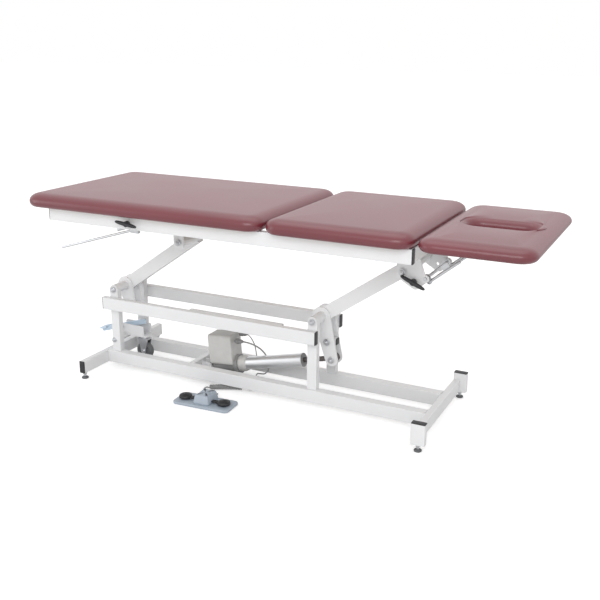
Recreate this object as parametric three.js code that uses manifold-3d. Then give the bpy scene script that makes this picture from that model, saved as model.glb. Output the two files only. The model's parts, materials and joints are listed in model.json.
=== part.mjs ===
// Powered high-low examination couch with a raising foot section, a fixed middle section
// and a tilting head section. Millimetres, +Z up, +X towards the head end, near side at -Y.
// The floor is z = 0 and the origin lies below the middle of the upholstery.
import * as THREE from 'three';
import { mergeVertices } from 'three/addons/utils/BufferGeometryUtils.js';
import Module from 'manifold-3d';

const wasm = await Module();
wasm.setup();

// ---- clearances ----
const SEAT_GAP = 0.3;          // between pieces that touch
const BORE_GAP = 0.35;         // round a shaft in its bore
const SIDE_PLAY = 1;           // between a turning tube's end and the plate beside it

// ---- upholstery ----
const COUCH_LENGTH = 1930;
const COUCH_WIDTH = 686;
const CUSHION_GAP = 12;        // between two sections
const CUSHION_THICK = 56;
const HEAD_THIN = 7;           // how much thinner the head cushion is
const CUSHION_CORNER = 60;     // plan radius
const CUSHION_ROUND = 22;      // edge radius
const FOOT_JOINT_X = 55;       // middle of the gap between the foot and middle sections
const HEAD_JOINT_X = 590;      // middle of the gap between the middle and head sections
const SLOT_START = 132;        // head joint to the middle of the nose slot's first round end
const SLOT_LENGTH = 130;       // between the middles of the slot's round ends
const SLOT_WIDTH = 100;
const BOARD_THICK = 12.7;
const BOARD_INSET = 26;        // cushion edge to board edge
const BOARD_PROUD = 1;         // board below the cushion's underside

// ---- steel sections ----
const TUBE_THIN = 25.4;
const TUBE_TALL = 50.8;
const TUBE_MID = 38.1;
const WALL = 2;
const TUBE_ROUND = 3;
const PLATE = 6;

// ---- base ----
const RAIL_UNDER = 25.4;       // floor to the underside of the base tubes
const BASE_WIDTH = 533.4;
const FOOT_BAR_X = -797.6;     // middle of the foot crossbar
const HEAD_POST_X = 618;       // middle of the head posts
const POST_TOP = 102;
const RAIL_OUT = 114.3;        // base rails' outer faces from the middle line
const UPRIGHT_OUT = 101.6;     // uprights' outer faces
const FOOT_PIVOT_X = -750;
const PIVOT_SPAN = 897.6;      // foot pivots to head pivots
const PIVOT_Z = 341.2;
const UPPER_RAIL_Z = 284.8;    // middle height of the upper rails
const UPPER_RAIL_X0 = -788;
const UPPER_RAIL_X1 = 168;
const GLIDE_R = 14;
const GLIDE_PLATE = 6;
const GLIDE_TOP_IN = 0.7;      // its top plate inside the outline of the tube above

// ---- lift ----
const ARM_LENGTH = 423.3;
const ARM_ANGLE = 34.8;        // arm above the level in the stored pose, degrees
const SHAFT_R = 8;
const BARREL_R = 19;
const CRANK_ANGLE = -75;       // crank direction in the stored pose, degrees above +X
const CRANK_TIE = 101;         // pivot to the tie bolt
const CRANK_PIN = 173;         // pivot to the actuator pin
const CRANK_HALF = 25;         // half width at its tip
const CRANK_ROOT_HALF = 36;    // half width at the pivot
const TIE_BOSS_R = 9.9;        // leaves room round it inside the tie bar
const TIE_OVER_FOOT = 20;
const TIE_OVER_HEAD = 30;
const STIFFENER_X0 = -446;
const STIFFENER_LENGTH = 420;
const STIFFENER_SIDE = 19;

// ---- actuator ----
const ACT_ANGLE = 13.2;        // slope of its axis, degrees
const ACT_REAR = 559.3;        // front pin to rear pin
const ACT_TUBE_FRONT = 130;    // front pin to the tube's end
const ACT_TUBE_REAR = 380;
const ACT_TUBE_R = 26;
const ACT_ROD_R = 10;
const ACT_ROD_LENGTH = 272;    // stays inside the tube when extended, short of the housing when drawn in
const COLLAR_R = 32;
const RING_R = 39;
const COLLAR_LENGTH = 34;
const RING_LENGTH = 16;
const GEARBOX_R = 30;
const MOTOR_BOX = [106, 84, 124];
const MOTOR_BOX_LIFT = 10;     // axis to the box's underside
const MOTOR_BOX_FROM = 421;    // front pin to the motor box's front face
const MOTOR_BOX_TILT = -8;     // box against the actuator's axis, degrees
const MOUNT_EAR_Y = 14.5;      // inner face of each rear ear

// ---- deck ----
const DECK_TOP = 704;
const DECK_OUT = 295;          // side rails' outer faces
const DECK_X0 = -880;
const DECK_X1 = 577;
const EAR_Y = 128.5;           // inner faces of the ears
const EAR_HALF = 22;
const HEAD_EAR_REACH = 42;     // head pivot to the prop knob's screw, along X
const HEAD_EAR_GAP = 2.4;      // head ears' front edge to the deck's end bar

// ---- head prop ----
const PROP_SHAFT_X = 575;
const PROP_SHAFT_Z = 568;
const PROP_SHAFT_R = 6;
const PROP_Y = 113;
const PROP_ANGLE = 39;
const PROP_LOWER_LENGTH = 128;
const PROP_ROD_R = 5;
const PROP_THIN_R = 4;
const PROP_CLIP = [28, 5, 26];   // plate on each lower rod: along it, across and deep
const PROP_CLIP_AT = 74;       // its middle along the rod
const PROP_PIVOT_X = 732;
const PROP_PIVOT_Z = 688;
const PROP_THIN_LENGTH = 166;
const PROP_DROP = [9, -13];    // shaft to the start of the lower rods
const PROP_THIN_DROP = 8.5;    // thin rods below their cross pin, so that they pass under the shaft
const PROP_CHEEK_GAP = 0.7;    // thin rods to the bracket's cheeks

// ---- foot prop ----
const FOOT_ROD_IN = 19.6;       // its middle from the deck rail's inner face
const FOOT_ROD_X = -440;       // its pin under the foot board
const FOOT_ROD_Z = 667;
const FOOT_ROD_ANGLE = 16.8;
const FOOT_ROD_LENGTH = 450;
const FOOT_ROD_R = 4.5;
const FOOT_CLAMP_X = -505;
const BRACKET_WIDTH = 22;
const SHEET = 3;                // steel sheet of the prop brackets
const PROP_ARM_WIDTH = 14;      // head bracket's arms beside the nose slot
const KNOB_LENGTH = 96;
const KNOB_R = 7.5;

// ---- caster ----
const CARRIER_X = -760;
const CARRIER_Z = 122;
const CASTER_X = -680;
const CASTER_CENTRE_Z = 57;
const WHEEL_R = 37.5;
const WHEEL_WIDTH = 24;
const LEVER_LENGTH = 240;
const LEVER_AHEAD = 112;       // lever beyond its bolt, towards the head end
const LEVER_TILT = 17;         // degrees
const LEVER_BOLT_X = -778;
const LEVER_BOLT_Z = 155;
const CHEEK_Y = 26;            // middle of each carrier cheek

// ---- foot switch ----
const SWITCH_X = -226;
const SWITCH_Y = -250;
const SWITCH_TURN = 3;         // degrees
const SWITCH_SIZE = [236, 104, 11];
const PEDAL_R = 25;
const PEDAL_TONGUE_END = 31.5; // from the switch's middle to where each pedal is held
const PEDAL_SPREAD = 82;       // switch middle to each pedal's middle
const CURL_R = 10.5;
const LEAD_R = 3;
const COUPLER = [20, 24, 30];

// ---- materials ----
const WHITE_PAINT = { color: 0xe9eaec, roughness: 0.35, metalness: 0.1 };
const ZINC = { color: 0xb9bcc0, roughness: 0.3, metalness: 1 };
const BLACK_PLASTIC = { color: 0x222326, roughness: 0.5, metalness: 0 };
const GREY_PLASTIC = { color: 0xbdbcb9, roughness: 0.5, metalness: 0 };
const SWITCH_GREY = { color: 0x9aa5b0, roughness: 0.5, metalness: 0 };
const BLUE_PAINT = { color: 0xbfd6ea, roughness: 0.4, metalness: 0.1 };
const ALUMINIUM = { color: 0xc9cccf, roughness: 0.3, metalness: 1 };
const VINYL = { color: 0x6d2430, roughness: 0.35, metalness: 0 };
const PLYWOOD = { color: 0x9c7a55, roughness: 0.7, metalness: 0 };
const GREY_RUBBER = { color: 0x6f7074, roughness: 0.8, metalness: 0 };
const CORD_GREY = { color: 0x8c8d8f, roughness: 0.6, metalness: 0 };

// ---- worked-out places ----
const DEG = Math.PI / 180;
const HEAD_PIVOT_X = FOOT_PIVOT_X + PIVOT_SPAN;
const ARM_DX = ARM_LENGTH * Math.cos(ARM_ANGLE * DEG);
const ARM_DZ = ARM_LENGTH * Math.sin(ARM_ANGLE * DEG);
const UPRIGHT_IN = UPRIGHT_OUT - TUBE_THIN;
const RAIL_MID_Z = RAIL_UNDER + TUBE_TALL / 2;
const FOOT_ROD_Y = -(DECK_OUT - TUBE_THIN - FOOT_ROD_IN);
const CUSHION_UNDER = DECK_TOP + SEAT_GAP + BOARD_PROUD;
const PROP_THIN_Y = PROP_Y - PROP_ROD_R - PROP_CLIP[1] + 0.5 - SEAT_GAP - PROP_THIN_R;
const PROP_CHEEK_Y = PROP_THIN_Y + PROP_THIN_R + PROP_CHEEK_GAP;

/** Turns a closed three.js geometry into a manifold solid. */
function solidOf(geometry) {
  const bare = geometry.clone();
  bare.deleteAttribute('normal');
  bare.deleteAttribute('uv');
  const merged = mergeVertices(bare, 1e-4);
  return new wasm.Manifold(new wasm.Mesh({
    numProp: 3,
    vertProperties: new Float32Array(merged.attributes.position.array),
    triVerts: new Uint32Array(merged.index.array),
  }));
}

/** Turns a manifold solid back into a three.js geometry. */
function geometryOf(solid) {
  const mesh = solid.getMesh();
  const geometry = new THREE.BufferGeometry();
  geometry.setAttribute('position', new THREE.BufferAttribute(mesh.vertProperties, 3));
  geometry.setIndex(new THREE.BufferAttribute(mesh.triVerts, 1));
  geometry.computeVertexNormals();
  return geometry;
}

/** Joins several geometries into one. */
function join(...geometries) {
  return geometryOf(geometries.map(solidOf).reduce((whole, next) => whole.add(next)));
}

/** Cuts the later geometries out of the first. */
function cut(geometry, ...tools) {
  return geometryOf(tools.map(solidOf).reduce((whole, tool) => whole.subtract(tool), solidOf(geometry)));
}

/** A named mesh of one material. */
function piece(name, geometry, finish) {
  const mesh = new THREE.Mesh(geometry, new THREE.MeshStandardMaterial(finish));
  mesh.name = name;
  return mesh;
}

/** A rectangle with round corners, centred on its own origin. */
function roundedRect(width, height, radius, into = new THREE.Shape()) {
  const w = width / 2;
  const h = height / 2;
  into.moveTo(-w + radius, -h);
  into.lineTo(w - radius, -h);
  into.absarc(w - radius, -h + radius, radius, -Math.PI / 2, 0, false);
  into.lineTo(w, h - radius);
  into.absarc(w - radius, h - radius, radius, 0, Math.PI / 2, false);
  into.lineTo(-w + radius, h);
  into.absarc(-w + radius, h - radius, radius, Math.PI / 2, Math.PI, false);
  into.lineTo(-w, -h + radius);
  into.absarc(-w + radius, -h + radius, radius, Math.PI, Math.PI * 1.5, false);
  return into;
}

/** Extrudes a shape by depth, centred along its depth. */
function slab(shape, depth, curveSegments = 5) {
  const geometry = new THREE.ExtrudeGeometry(shape, { depth, bevelEnabled: false, curveSegments });
  return geometry.translate(0, 0, -depth / 2);
}

/** A square tube along X: y and z sizes, open at both ends. */
function tubeX(length, ySize, zSize, wall = WALL) {
  const outline = roundedRect(zSize, ySize, TUBE_ROUND);
  const inner = new THREE.Path();
  outline.holes.push(roundedRect(zSize - 2 * wall, ySize - 2 * wall, TUBE_ROUND - wall / 2, inner));
  return slab(outline, length, 3).rotateY(Math.PI / 2);
}

/** A square tube along Y: x and z sizes, open at both ends. */
function tubeY(length, xSize, zSize) {
  return tubeX(length, xSize, zSize).rotateZ(Math.PI / 2);
}

/** A square tube along Z: x and y sizes, open at both ends. */
function tubeZ(length, xSize, ySize) {
  return tubeX(length, ySize, xSize).rotateY(Math.PI / 2);
}

/** A solid round bar along Y. */
function barY(radius, length, segments = 14) {
  return new THREE.CylinderGeometry(radius, radius, length, segments);
}

/** A solid round bar along X. */
function barX(radius, length, segments = 12) {
  return barY(radius, length, segments).rotateZ(Math.PI / 2);
}

/** A solid round bar along Z. */
function barZ(radius, length, segments = 14) {
  return barY(radius, length, segments).rotateX(Math.PI / 2);
}

/** A plate in the XZ plane, its outline given in x and z, centred on y = 0. */
function plateXZ(shape, thickness, curveSegments = 6) {
  return slab(shape, thickness, curveSegments).rotateX(Math.PI / 2);
}

/** An outline round two circles, the first at the origin and the second at distance along +X. */
function pearShape(startRadius, endRadius, distance) {
  const lean = Math.asin((startRadius - endRadius) / distance);
  const side = Math.PI / 2 - lean;
  const shape = new THREE.Shape();
  shape.absarc(0, 0, startRadius, side, -side + 2 * Math.PI, false);
  shape.absarc(distance, 0, endRadius, -side, side, false);
  return shape;
}

// ================= base =================

function baseTubes() {
  const railStart = FOOT_BAR_X + TUBE_THIN / 2 + SEAT_GAP;
  const headBarX = HEAD_POST_X - TUBE_TALL / 2 + TUBE_THIN / 2;
  const railEnd = headBarX - TUBE_THIN / 2 - SEAT_GAP;
  const railY = RAIL_OUT - TUBE_MID / 2;
  const parts = [];
  for (const [side, sign] of [['near', -1], ['far', 1]]) {
    const rail = piece(`base_rail_${side}`, tubeX(railEnd - railStart, TUBE_MID, TUBE_TALL), WHITE_PAINT);
    rail.position.set((railStart + railEnd) / 2, sign * railY, RAIL_MID_Z);
    const post = piece(`head_post_${side}`, tubeZ(POST_TOP - RAIL_UNDER, TUBE_TALL, TUBE_THIN), WHITE_PAINT);
    post.position.set(HEAD_POST_X, sign * (BASE_WIDTH - TUBE_THIN) / 2, (POST_TOP + RAIL_UNDER) / 2);
    parts.push(rail, post);
  }
  const footBar = piece('foot_crossbar', tubeY(BASE_WIDTH, TUBE_THIN, TUBE_TALL), WHITE_PAINT);
  footBar.position.set(FOOT_BAR_X, 0, RAIL_MID_Z);
  const headBarLength = BASE_WIDTH - 2 * TUBE_THIN - 2 * SEAT_GAP;
  const headBar = piece('head_crossbar', tubeY(headBarLength, TUBE_THIN, TUBE_TALL), WHITE_PAINT);
  headBar.position.set(headBarX, 0, RAIL_MID_Z);
  parts.push(footBar, headBar);
  return parts;
}

/** A levelling foot: a round pad, a stem and a plate that closes on the tube above. */
function glide(name, x, y) {
  const top = RAIL_UNDER - SEAT_GAP;
  const profile = [
    [0, 0], [GLIDE_R - 2, 0], [GLIDE_R, 2], [GLIDE_R, GLIDE_PLATE], [5, GLIDE_PLATE + 3], [5, top - 3],
    [TUBE_THIN / 2 - GLIDE_TOP_IN, top - 3], [TUBE_THIN / 2 - GLIDE_TOP_IN, top], [0, top],
  ].map(([r, z]) => new THREE.Vector2(r, z));
  const foot = piece(name, new THREE.LatheGeometry(profile, 14).rotateX(Math.PI / 2), BLACK_PLASTIC);
  foot.position.set(x, y, 0);
  return foot;
}

function glides() {
  const reach = BASE_WIDTH / 2 - TUBE_THIN / 2;
  const places = [['foot', FOOT_BAR_X], ['head', HEAD_POST_X]];
  return places.flatMap(([end, x]) => [
    glide(`${end}_glide_near`, x, -reach),
    glide(`${end}_glide_far`, x, reach),
  ]);
}

/** An upright: a flat-sided column with a round top bored for the pivot shaft. */
function upright(end, side, x, sign) {
  const foot = RAIL_UNDER + TUBE_TALL + SEAT_GAP;
  const half = TUBE_MID / 2;
  const shape = new THREE.Shape();
  shape.moveTo(-half, foot - PIVOT_Z);
  shape.lineTo(half, foot - PIVOT_Z);
  shape.lineTo(half, 0);
  shape.absarc(0, 0, half, 0, Math.PI, false);
  shape.lineTo(-half, foot - PIVOT_Z);
  const column = plateXZ(shape, TUBE_THIN);
  const cuts = [barY(SHAFT_R + BORE_GAP, TUBE_THIN + 2)];
  if (end === 'foot') {
    cuts.push(barY(SHAFT_R + BORE_GAP, TUBE_THIN + 2).translate(CARRIER_X - x, 0, CARRIER_Z - PIVOT_Z));
  }
  const hollow = new THREE.BoxGeometry(TUBE_MID - 2 * WALL, TUBE_THIN - 2 * WALL, UPPER_RAIL_Z - foot);
  cuts.push(hollow.translate(0, 0, (UPPER_RAIL_Z + foot) / 2 - PIVOT_Z - 1));
  const mesh = piece(`${end}_upright_${side}`, cut(column, ...cuts), WHITE_PAINT);
  mesh.position.set(x, sign * (UPRIGHT_OUT - TUBE_THIN / 2), PIVOT_Z);
  return mesh;
}

/** A shaft along Y with a bolt head on each end. */
function headedShaft(radius, span, headRadius, headLength) {
  const seat = span / 2;
  const end = seat + headLength;
  const profile = [
    [0, -end], [headRadius - 1, -end], [headRadius, 1 - end], [headRadius, -seat], [radius, -seat],
    [radius, seat], [headRadius, seat], [headRadius, end - 1], [headRadius - 1, end], [0, end],
  ].map(([r, z]) => new THREE.Vector2(r, z));
  return new THREE.LatheGeometry(profile, 12);
}

function uprightsAndRails() {
  const parts = [];
  for (const [side, sign] of [['near', -1], ['far', 1]]) {
    parts.push(upright('foot', side, FOOT_PIVOT_X, sign), upright('head', side, HEAD_PIVOT_X, sign));
    const length = UPPER_RAIL_X1 - UPPER_RAIL_X0;
    const rail = piece(`upper_rail_${side}`, tubeX(length, TUBE_THIN, TUBE_TALL), WHITE_PAINT);
    const y = UPRIGHT_OUT + SEAT_GAP + TUBE_THIN / 2;
    rail.position.set((UPPER_RAIL_X0 + UPPER_RAIL_X1) / 2, sign * y, UPPER_RAIL_Z);
    parts.push(rail);
  }
  const span = 2 * (UPRIGHT_OUT + SEAT_GAP);
  for (const [end, x] of [['foot', FOOT_PIVOT_X], ['head', HEAD_PIVOT_X]]) {
    const shaft = piece(`${end}_pivot_shaft`, headedShaft(SHAFT_R, span, 11, 6), ZINC);
    shaft.position.set(x, 0, PIVOT_Z);
    parts.push(shaft);
  }
  return parts;
}

// ================= lift arms, cranks and tie bar =================

/**
 * One lift arm in its own frame: the lower pivot at the origin and the upper pivot at
 * +X. The arm tube, both barrels, two crank plates and their bolts are welded together.
 */
function armGeometry(crankLength) {
  const crankTurn = CRANK_ANGLE - ARM_ANGLE;
  const boreR = SHAFT_R + BORE_GAP;
  const lowerLength = 2 * (UPRIGHT_IN - SIDE_PLAY);
  const upperLength = 2 * (EAR_Y - SIDE_PLAY);
  const tubeBox = new THREE.BoxGeometry(ARM_LENGTH, TUBE_MID, TUBE_TALL);
  const tube = solidOf(tubeBox.translate(ARM_LENGTH / 2, 0, 0));
  const lower = solidOf(barY(BARREL_R, lowerLength, 14));
  const upper = solidOf(barY(BARREL_R, upperLength, 14).translate(ARM_LENGTH, 0, 0));
  const inside = new THREE.BoxGeometry(ARM_LENGTH - 4 * BARREL_R, TUBE_MID - 2 * WALL, TUBE_TALL - 2 * WALL);
  let whole = tube.add(lower).add(upper);
  for (const sign of [-1, 1]) {
    const outline = pearShape(CRANK_ROOT_HALF, CRANK_HALF, crankLength);
    const plate = plateXZ(outline, PLATE).rotateY(-crankTurn * DEG);
    plate.translate(0, sign * (TUBE_MID + PLATE) / 2, 0);
    whole = whole.add(solidOf(plate));
  }
  for (const reach of new Set([CRANK_TIE, crankLength])) {
    const bolt = headedShaft(SHAFT_R, 2 * (TUBE_MID / 2 + PLATE), 10, 5);
    bolt.translate(reach * Math.cos(crankTurn * DEG), 0, reach * Math.sin(crankTurn * DEG));
    whole = whole.add(solidOf(bolt));
  }
  const vent = barZ(4, TUBE_TALL, 12).translate(ARM_LENGTH - 2 * BARREL_R - 20, 0, -TUBE_TALL / 2);
  whole = whole.subtract(solidOf(inside.translate(ARM_LENGTH / 2, 0, 0)));
  whole = whole.subtract(solidOf(vent));
  whole = whole.subtract(solidOf(barY(boreR, lowerLength + 2, 14)));
  whole = whole.subtract(solidOf(barY(boreR, upperLength + 2, 14).translate(ARM_LENGTH, 0, 0)));
  return geometryOf(whole);
}

function liftArms() {
  const parts = [];
  const ends = [['foot', FOOT_PIVOT_X, CRANK_TIE], ['head', HEAD_PIVOT_X, CRANK_PIN]];
  for (const [end, x, crankLength] of ends) {
    const arm = piece(`${end}_lift_arm`, armGeometry(crankLength), WHITE_PAINT);
    arm.position.set(x, 0, PIVOT_Z);
    arm.rotation.y = -ARM_ANGLE * DEG;
    parts.push(arm);
  }
  return parts;
}

/** The tie bar that keeps both arms parallel, with the short stiffener welded on top. */
function tieBar() {
  const dx = CRANK_TIE * Math.cos(CRANK_ANGLE * DEG);
  const z = PIVOT_Z + CRANK_TIE * Math.sin(CRANK_ANGLE * DEG);
  const x0 = FOOT_PIVOT_X + dx - TIE_OVER_FOOT;
  const x1 = HEAD_PIVOT_X + dx + TIE_OVER_HEAD;
  const half = TUBE_MID / 2 - SEAT_GAP;
  let whole = solidOf(tubeX(x1 - x0, TUBE_THIN, TUBE_THIN).translate((x0 + x1) / 2, 0, z));
  for (const x of [FOOT_PIVOT_X + dx, HEAD_PIVOT_X + dx]) {
    whole = whole.add(solidOf(barY(TIE_BOSS_R, 2 * half, 14).translate(x, 0, z)));
    whole = whole.subtract(solidOf(barY(SHAFT_R + BORE_GAP, 2 * half + 2, 14).translate(x, 0, z)));
  }
  const rise = (TUBE_THIN + STIFFENER_SIDE) / 2 - 0.1;
  const stiffener = tubeX(STIFFENER_LENGTH, STIFFENER_SIDE, STIFFENER_SIDE);
  whole = whole.add(solidOf(stiffener.translate(STIFFENER_X0 + STIFFENER_LENGTH / 2, 0, z + rise)));
  return piece('tie_bar', geometryOf(whole), WHITE_PAINT);
}

// ================= actuator =================

/** Front pin of the actuator, on the head crank. */
function frontPin() {
  return [
    HEAD_PIVOT_X + CRANK_PIN * Math.cos(CRANK_ANGLE * DEG),
    PIVOT_Z + CRANK_PIN * Math.sin(CRANK_ANGLE * DEG),
  ];
}

/** Rear pin of the actuator, on the base. */
function rearPin() {
  const [x, z] = frontPin();
  return [x - ACT_REAR * Math.cos(ACT_ANGLE * DEG), z - ACT_REAR * Math.sin(ACT_ANGLE * DEG)];
}

/** A turned solid along the actuator's axis: [distance behind the front pin, radius] pairs. */
function alongAxis(profile, segments = 18) {
  const points = profile.map(([s, r]) => new THREE.Vector2(r, s));
  return new THREE.LatheGeometry(points, segments).rotateZ(Math.PI / 2);
}

function actuatorRod() {
  const half = TUBE_MID / 2 - SEAT_GAP;
  const rod = alongAxis([[0, 0], [0, ACT_ROD_R], [ACT_ROD_LENGTH, ACT_ROD_R], [ACT_ROD_LENGTH, 0]], 16);
  let whole = solidOf(rod).add(solidOf(barY(17, 2 * half, 24)));
  whole = whole.subtract(solidOf(barY(SHAFT_R + BORE_GAP, 2 * half + 2, 14)));
  return piece('actuator_rod', geometryOf(whole), ZINC);
}

function actuatorTube() {
  const bore = ACT_ROD_R + BORE_GAP;
  const tube = alongAxis([
    [ACT_TUBE_FRONT, bore], [ACT_TUBE_FRONT, ACT_TUBE_R + 1], [ACT_TUBE_FRONT + 8, ACT_TUBE_R + 1],
    [ACT_TUBE_FRONT + 8, ACT_TUBE_R], [ACT_TUBE_REAR, ACT_TUBE_R], [ACT_TUBE_REAR, ACT_TUBE_R - 3],
    [ACT_TUBE_FRONT + 12, ACT_TUBE_R - 3], [ACT_TUBE_FRONT + 12, bore], [ACT_TUBE_FRONT, bore],
  ]);
  return piece('actuator_tube', tube, ALUMINIUM);
}

/** Collar, gear housing and rear lug of the actuator. */
function actuatorHousing() {
  const start = ACT_TUBE_REAR + SEAT_GAP;
  const ring = start + COLLAR_LENGTH;
  const back = ACT_REAR - 26;
  const body = alongAxis([
    [start, 0], [start, COLLAR_R - 7], [start + 5, COLLAR_R - 2], [start + 12, COLLAR_R],
    [ring, COLLAR_R], [ring, RING_R], [ring + RING_LENGTH, RING_R], [ring + RING_LENGTH, GEARBOX_R],
    [back - 5, GEARBOX_R], [back, GEARBOX_R - 5], [back, 0],
  ]);
  const lug = new THREE.BoxGeometry(34, 2 * (MOUNT_EAR_Y - SIDE_PLAY), 22).translate(-ACT_REAR + 17, 0, 0);
  const eye = barY(13, 2 * (MOUNT_EAR_Y - SIDE_PLAY), 20).translate(-ACT_REAR, 0, 0);
  const whole = solidOf(body).add(solidOf(lug)).add(solidOf(eye));
  return piece('actuator_housing', geometryOf(whole), GREY_RUBBER);
}

/** The motor and control box that sits on the gear housing. */
function motorBox() {
  const [length, width, height] = MOTOR_BOX;
  const edge = 4;
  const shape = roundedRect(width - 2 * edge, height - 2 * edge, 7);
  const bevel = {
    depth: length - 2 * edge, bevelThickness: edge, bevelSize: edge, bevelSegments: 2, curveSegments: 4,
  };
  const box = new THREE.ExtrudeGeometry(shape, bevel).translate(0, 0, edge - length / 2);
  box.rotateX(Math.PI / 2).rotateZ(Math.PI / 2);
  const lift = MOTOR_BOX_LIFT + height / 2;
  const middle = MOTOR_BOX_FROM + length / 2;
  box.rotateY(MOTOR_BOX_TILT * -DEG).translate(-middle, 0, lift);
  const ringEnd = ACT_TUBE_REAR + SEAT_GAP + COLLAR_LENGTH + RING_LENGTH + SEAT_GAP;
  const housingClear = alongAxis([
    [ACT_TUBE_REAR - 20, 0], [ACT_TUBE_REAR - 20, RING_R + SEAT_GAP], [ringEnd, RING_R + SEAT_GAP],
    [ringEnd, GEARBOX_R + SEAT_GAP], [ACT_REAR + 40, GEARBOX_R + SEAT_GAP], [ACT_REAR + 40, 0],
  ]);
  return piece('motor_box', cut(box, housingClear), GREY_PLASTIC);
}

function actuator() {
  const group = new THREE.Group();
  const [x, z] = frontPin();
  group.position.set(x, 0, z);
  group.rotation.y = -ACT_ANGLE * DEG;
  group.add(actuatorRod(), actuatorTube(), actuatorHousing(), motorBox());
  return group;
}

/** Cross tube between the base rails with two ears that hold the actuator's rear pin. */
function actuatorMount() {
  const [x, z] = rearPin();
  const length = 2 * (RAIL_OUT - TUBE_MID - SEAT_GAP);
  const tubeX0 = x - 46;
  let whole = solidOf(tubeY(length, TUBE_THIN, TUBE_TALL).translate(tubeX0, 0, RAIL_MID_Z));
  for (const sign of [-1, 1]) {
    const ear = plateXZ(pearShape(20, 16, 38), PLATE).translate(-38, 0, 0);
    whole = whole.add(solidOf(ear.translate(x, sign * (MOUNT_EAR_Y + PLATE / 2), z)));
    const stub = barY(9, PLATE + 6, 12).translate(x, sign * (MOUNT_EAR_Y + (PLATE + 6) / 2), z);
    whole = whole.add(solidOf(stub));
  }
  return piece('actuator_mount', geometryOf(whole), WHITE_PAINT);
}

// ================= deck =================

function deckRails() {
  const parts = [];
  const length = DECK_X1 - DECK_X0;
  for (const [side, sign] of [['near', -1], ['far', 1]]) {
    const rail = piece(`deck_rail_${side}`, tubeX(length, TUBE_THIN, TUBE_TALL), WHITE_PAINT);
    rail.position.set((DECK_X0 + DECK_X1) / 2, sign * (DECK_OUT - TUBE_THIN / 2), DECK_TOP - TUBE_TALL / 2);
    parts.push(rail);
  }
  const span = 2 * (DECK_OUT - TUBE_THIN - SEAT_GAP);
  for (const [end, x] of [['foot', DECK_X0 + TUBE_THIN / 2], ['head', DECK_X1 - TUBE_THIN / 2]]) {
    const bar = piece(`deck_end_bar_${end}`, tubeY(span, TUBE_THIN, TUBE_TALL), WHITE_PAINT);
    bar.position.set(x, 0, DECK_TOP - TUBE_TALL / 2);
    parts.push(bar);
  }
  return parts;
}

/** Flat crossmember under the deck with two ears for the upper pivot shaft. */
function liftCrossmember(name, pivotX, earShape, extraHoles) {
  const span = 2 * (DECK_OUT - TUBE_THIN - SEAT_GAP);
  const pivotZ = PIVOT_Z + ARM_DZ;
  const middleZ = DECK_TOP - TUBE_THIN / 2;
  let whole = solidOf(tubeY(span, TUBE_TALL, TUBE_THIN).translate(pivotX, 0, middleZ));
  for (const sign of [-1, 1]) {
    const ear = plateXZ(earShape, PLATE).translate(pivotX, sign * (EAR_Y + PLATE / 2), pivotZ);
    whole = whole.add(solidOf(ear));
  }
  const holes = [[0, 0, SHAFT_R + BORE_GAP], ...extraHoles];
  for (const [dx, dz, radius] of holes) {
    const drill = barY(radius, 2 * (EAR_Y + PLATE) + 2, 20);
    whole = whole.subtract(solidOf(drill.translate(pivotX + dx, 0, pivotZ + dz)));
  }
  return piece(name, geometryOf(whole), WHITE_PAINT);
}

/** Ear under the foot end of the deck: a square plate with a round lower edge. */
function footEar() {
  const top = DECK_TOP - TUBE_THIN - (PIVOT_Z + ARM_DZ) + 1;
  const shape = new THREE.Shape();
  shape.moveTo(-EAR_HALF, top);
  shape.lineTo(-EAR_HALF, -EAR_HALF + 6);
  shape.absarc(-EAR_HALF + 6, -EAR_HALF + 6, 6, Math.PI, Math.PI * 1.5, false);
  shape.lineTo(EAR_HALF - 6, -EAR_HALF);
  shape.absarc(EAR_HALF - 6, -EAR_HALF + 6, 6, -Math.PI / 2, 0, false);
  shape.lineTo(EAR_HALF, top);
  return shape;
}

/** Ear under the head end: a wide plate that also carries the prop shaft and its knob. */
function headEar() {
  const top = DECK_TOP - TUBE_THIN - (PIVOT_Z + ARM_DZ) + 1;
  const tabX = PROP_SHAFT_X - (HEAD_PIVOT_X + ARM_DX);
  const tabZ = PROP_SHAFT_Z - (PIVOT_Z + ARM_DZ);
  const shape = new THREE.Shape();
  shape.moveTo(-EAR_HALF, top);
  shape.lineTo(-EAR_HALF, -EAR_HALF + 6);
  shape.absarc(-EAR_HALF + 6, -EAR_HALF + 6, 6, Math.PI, Math.PI * 1.5, false);
  shape.lineTo(HEAD_EAR_REACH - 8, -52);
  shape.absarc(HEAD_EAR_REACH + 4, -38, 18, -2.2, -0.5, false);
  shape.absarc(tabX, tabZ, 13, -0.9, 1.7, false);
  const front = DECK_X1 - TUBE_THIN - HEAD_EAR_GAP - (HEAD_PIVOT_X + ARM_DX);
  shape.lineTo(front, DECK_TOP - TUBE_TALL - 6 - (PIVOT_Z + ARM_DZ));
  shape.lineTo(front, top);
  return shape;
}

function liftCrossmembers() {
  const footX = FOOT_PIVOT_X + ARM_DX;
  const headX = HEAD_PIVOT_X + ARM_DX;
  const pivotZ = PIVOT_Z + ARM_DZ;
  const propHoles = [
    [PROP_SHAFT_X - headX, PROP_SHAFT_Z - pivotZ, PROP_SHAFT_R + BORE_GAP],
    [HEAD_EAR_REACH, -28, 5 + BORE_GAP],
  ];
  const parts = [
    liftCrossmember('foot_lift_crossmember', footX, footEar(), []),
    liftCrossmember('head_lift_crossmember', headX, headEar(), propHoles),
  ];
  const span = 2 * (EAR_Y + PLATE + SEAT_GAP);
  for (const [end, x] of [['foot', footX], ['head', headX]]) {
    const shaft = piece(`${end}_upper_shaft`, headedShaft(SHAFT_R, span, 11, 6), ZINC);
    shaft.position.set(x, 0, pivotZ);
    parts.push(shaft);
  }
  return parts;
}

// ================= props and knobs =================

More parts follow.
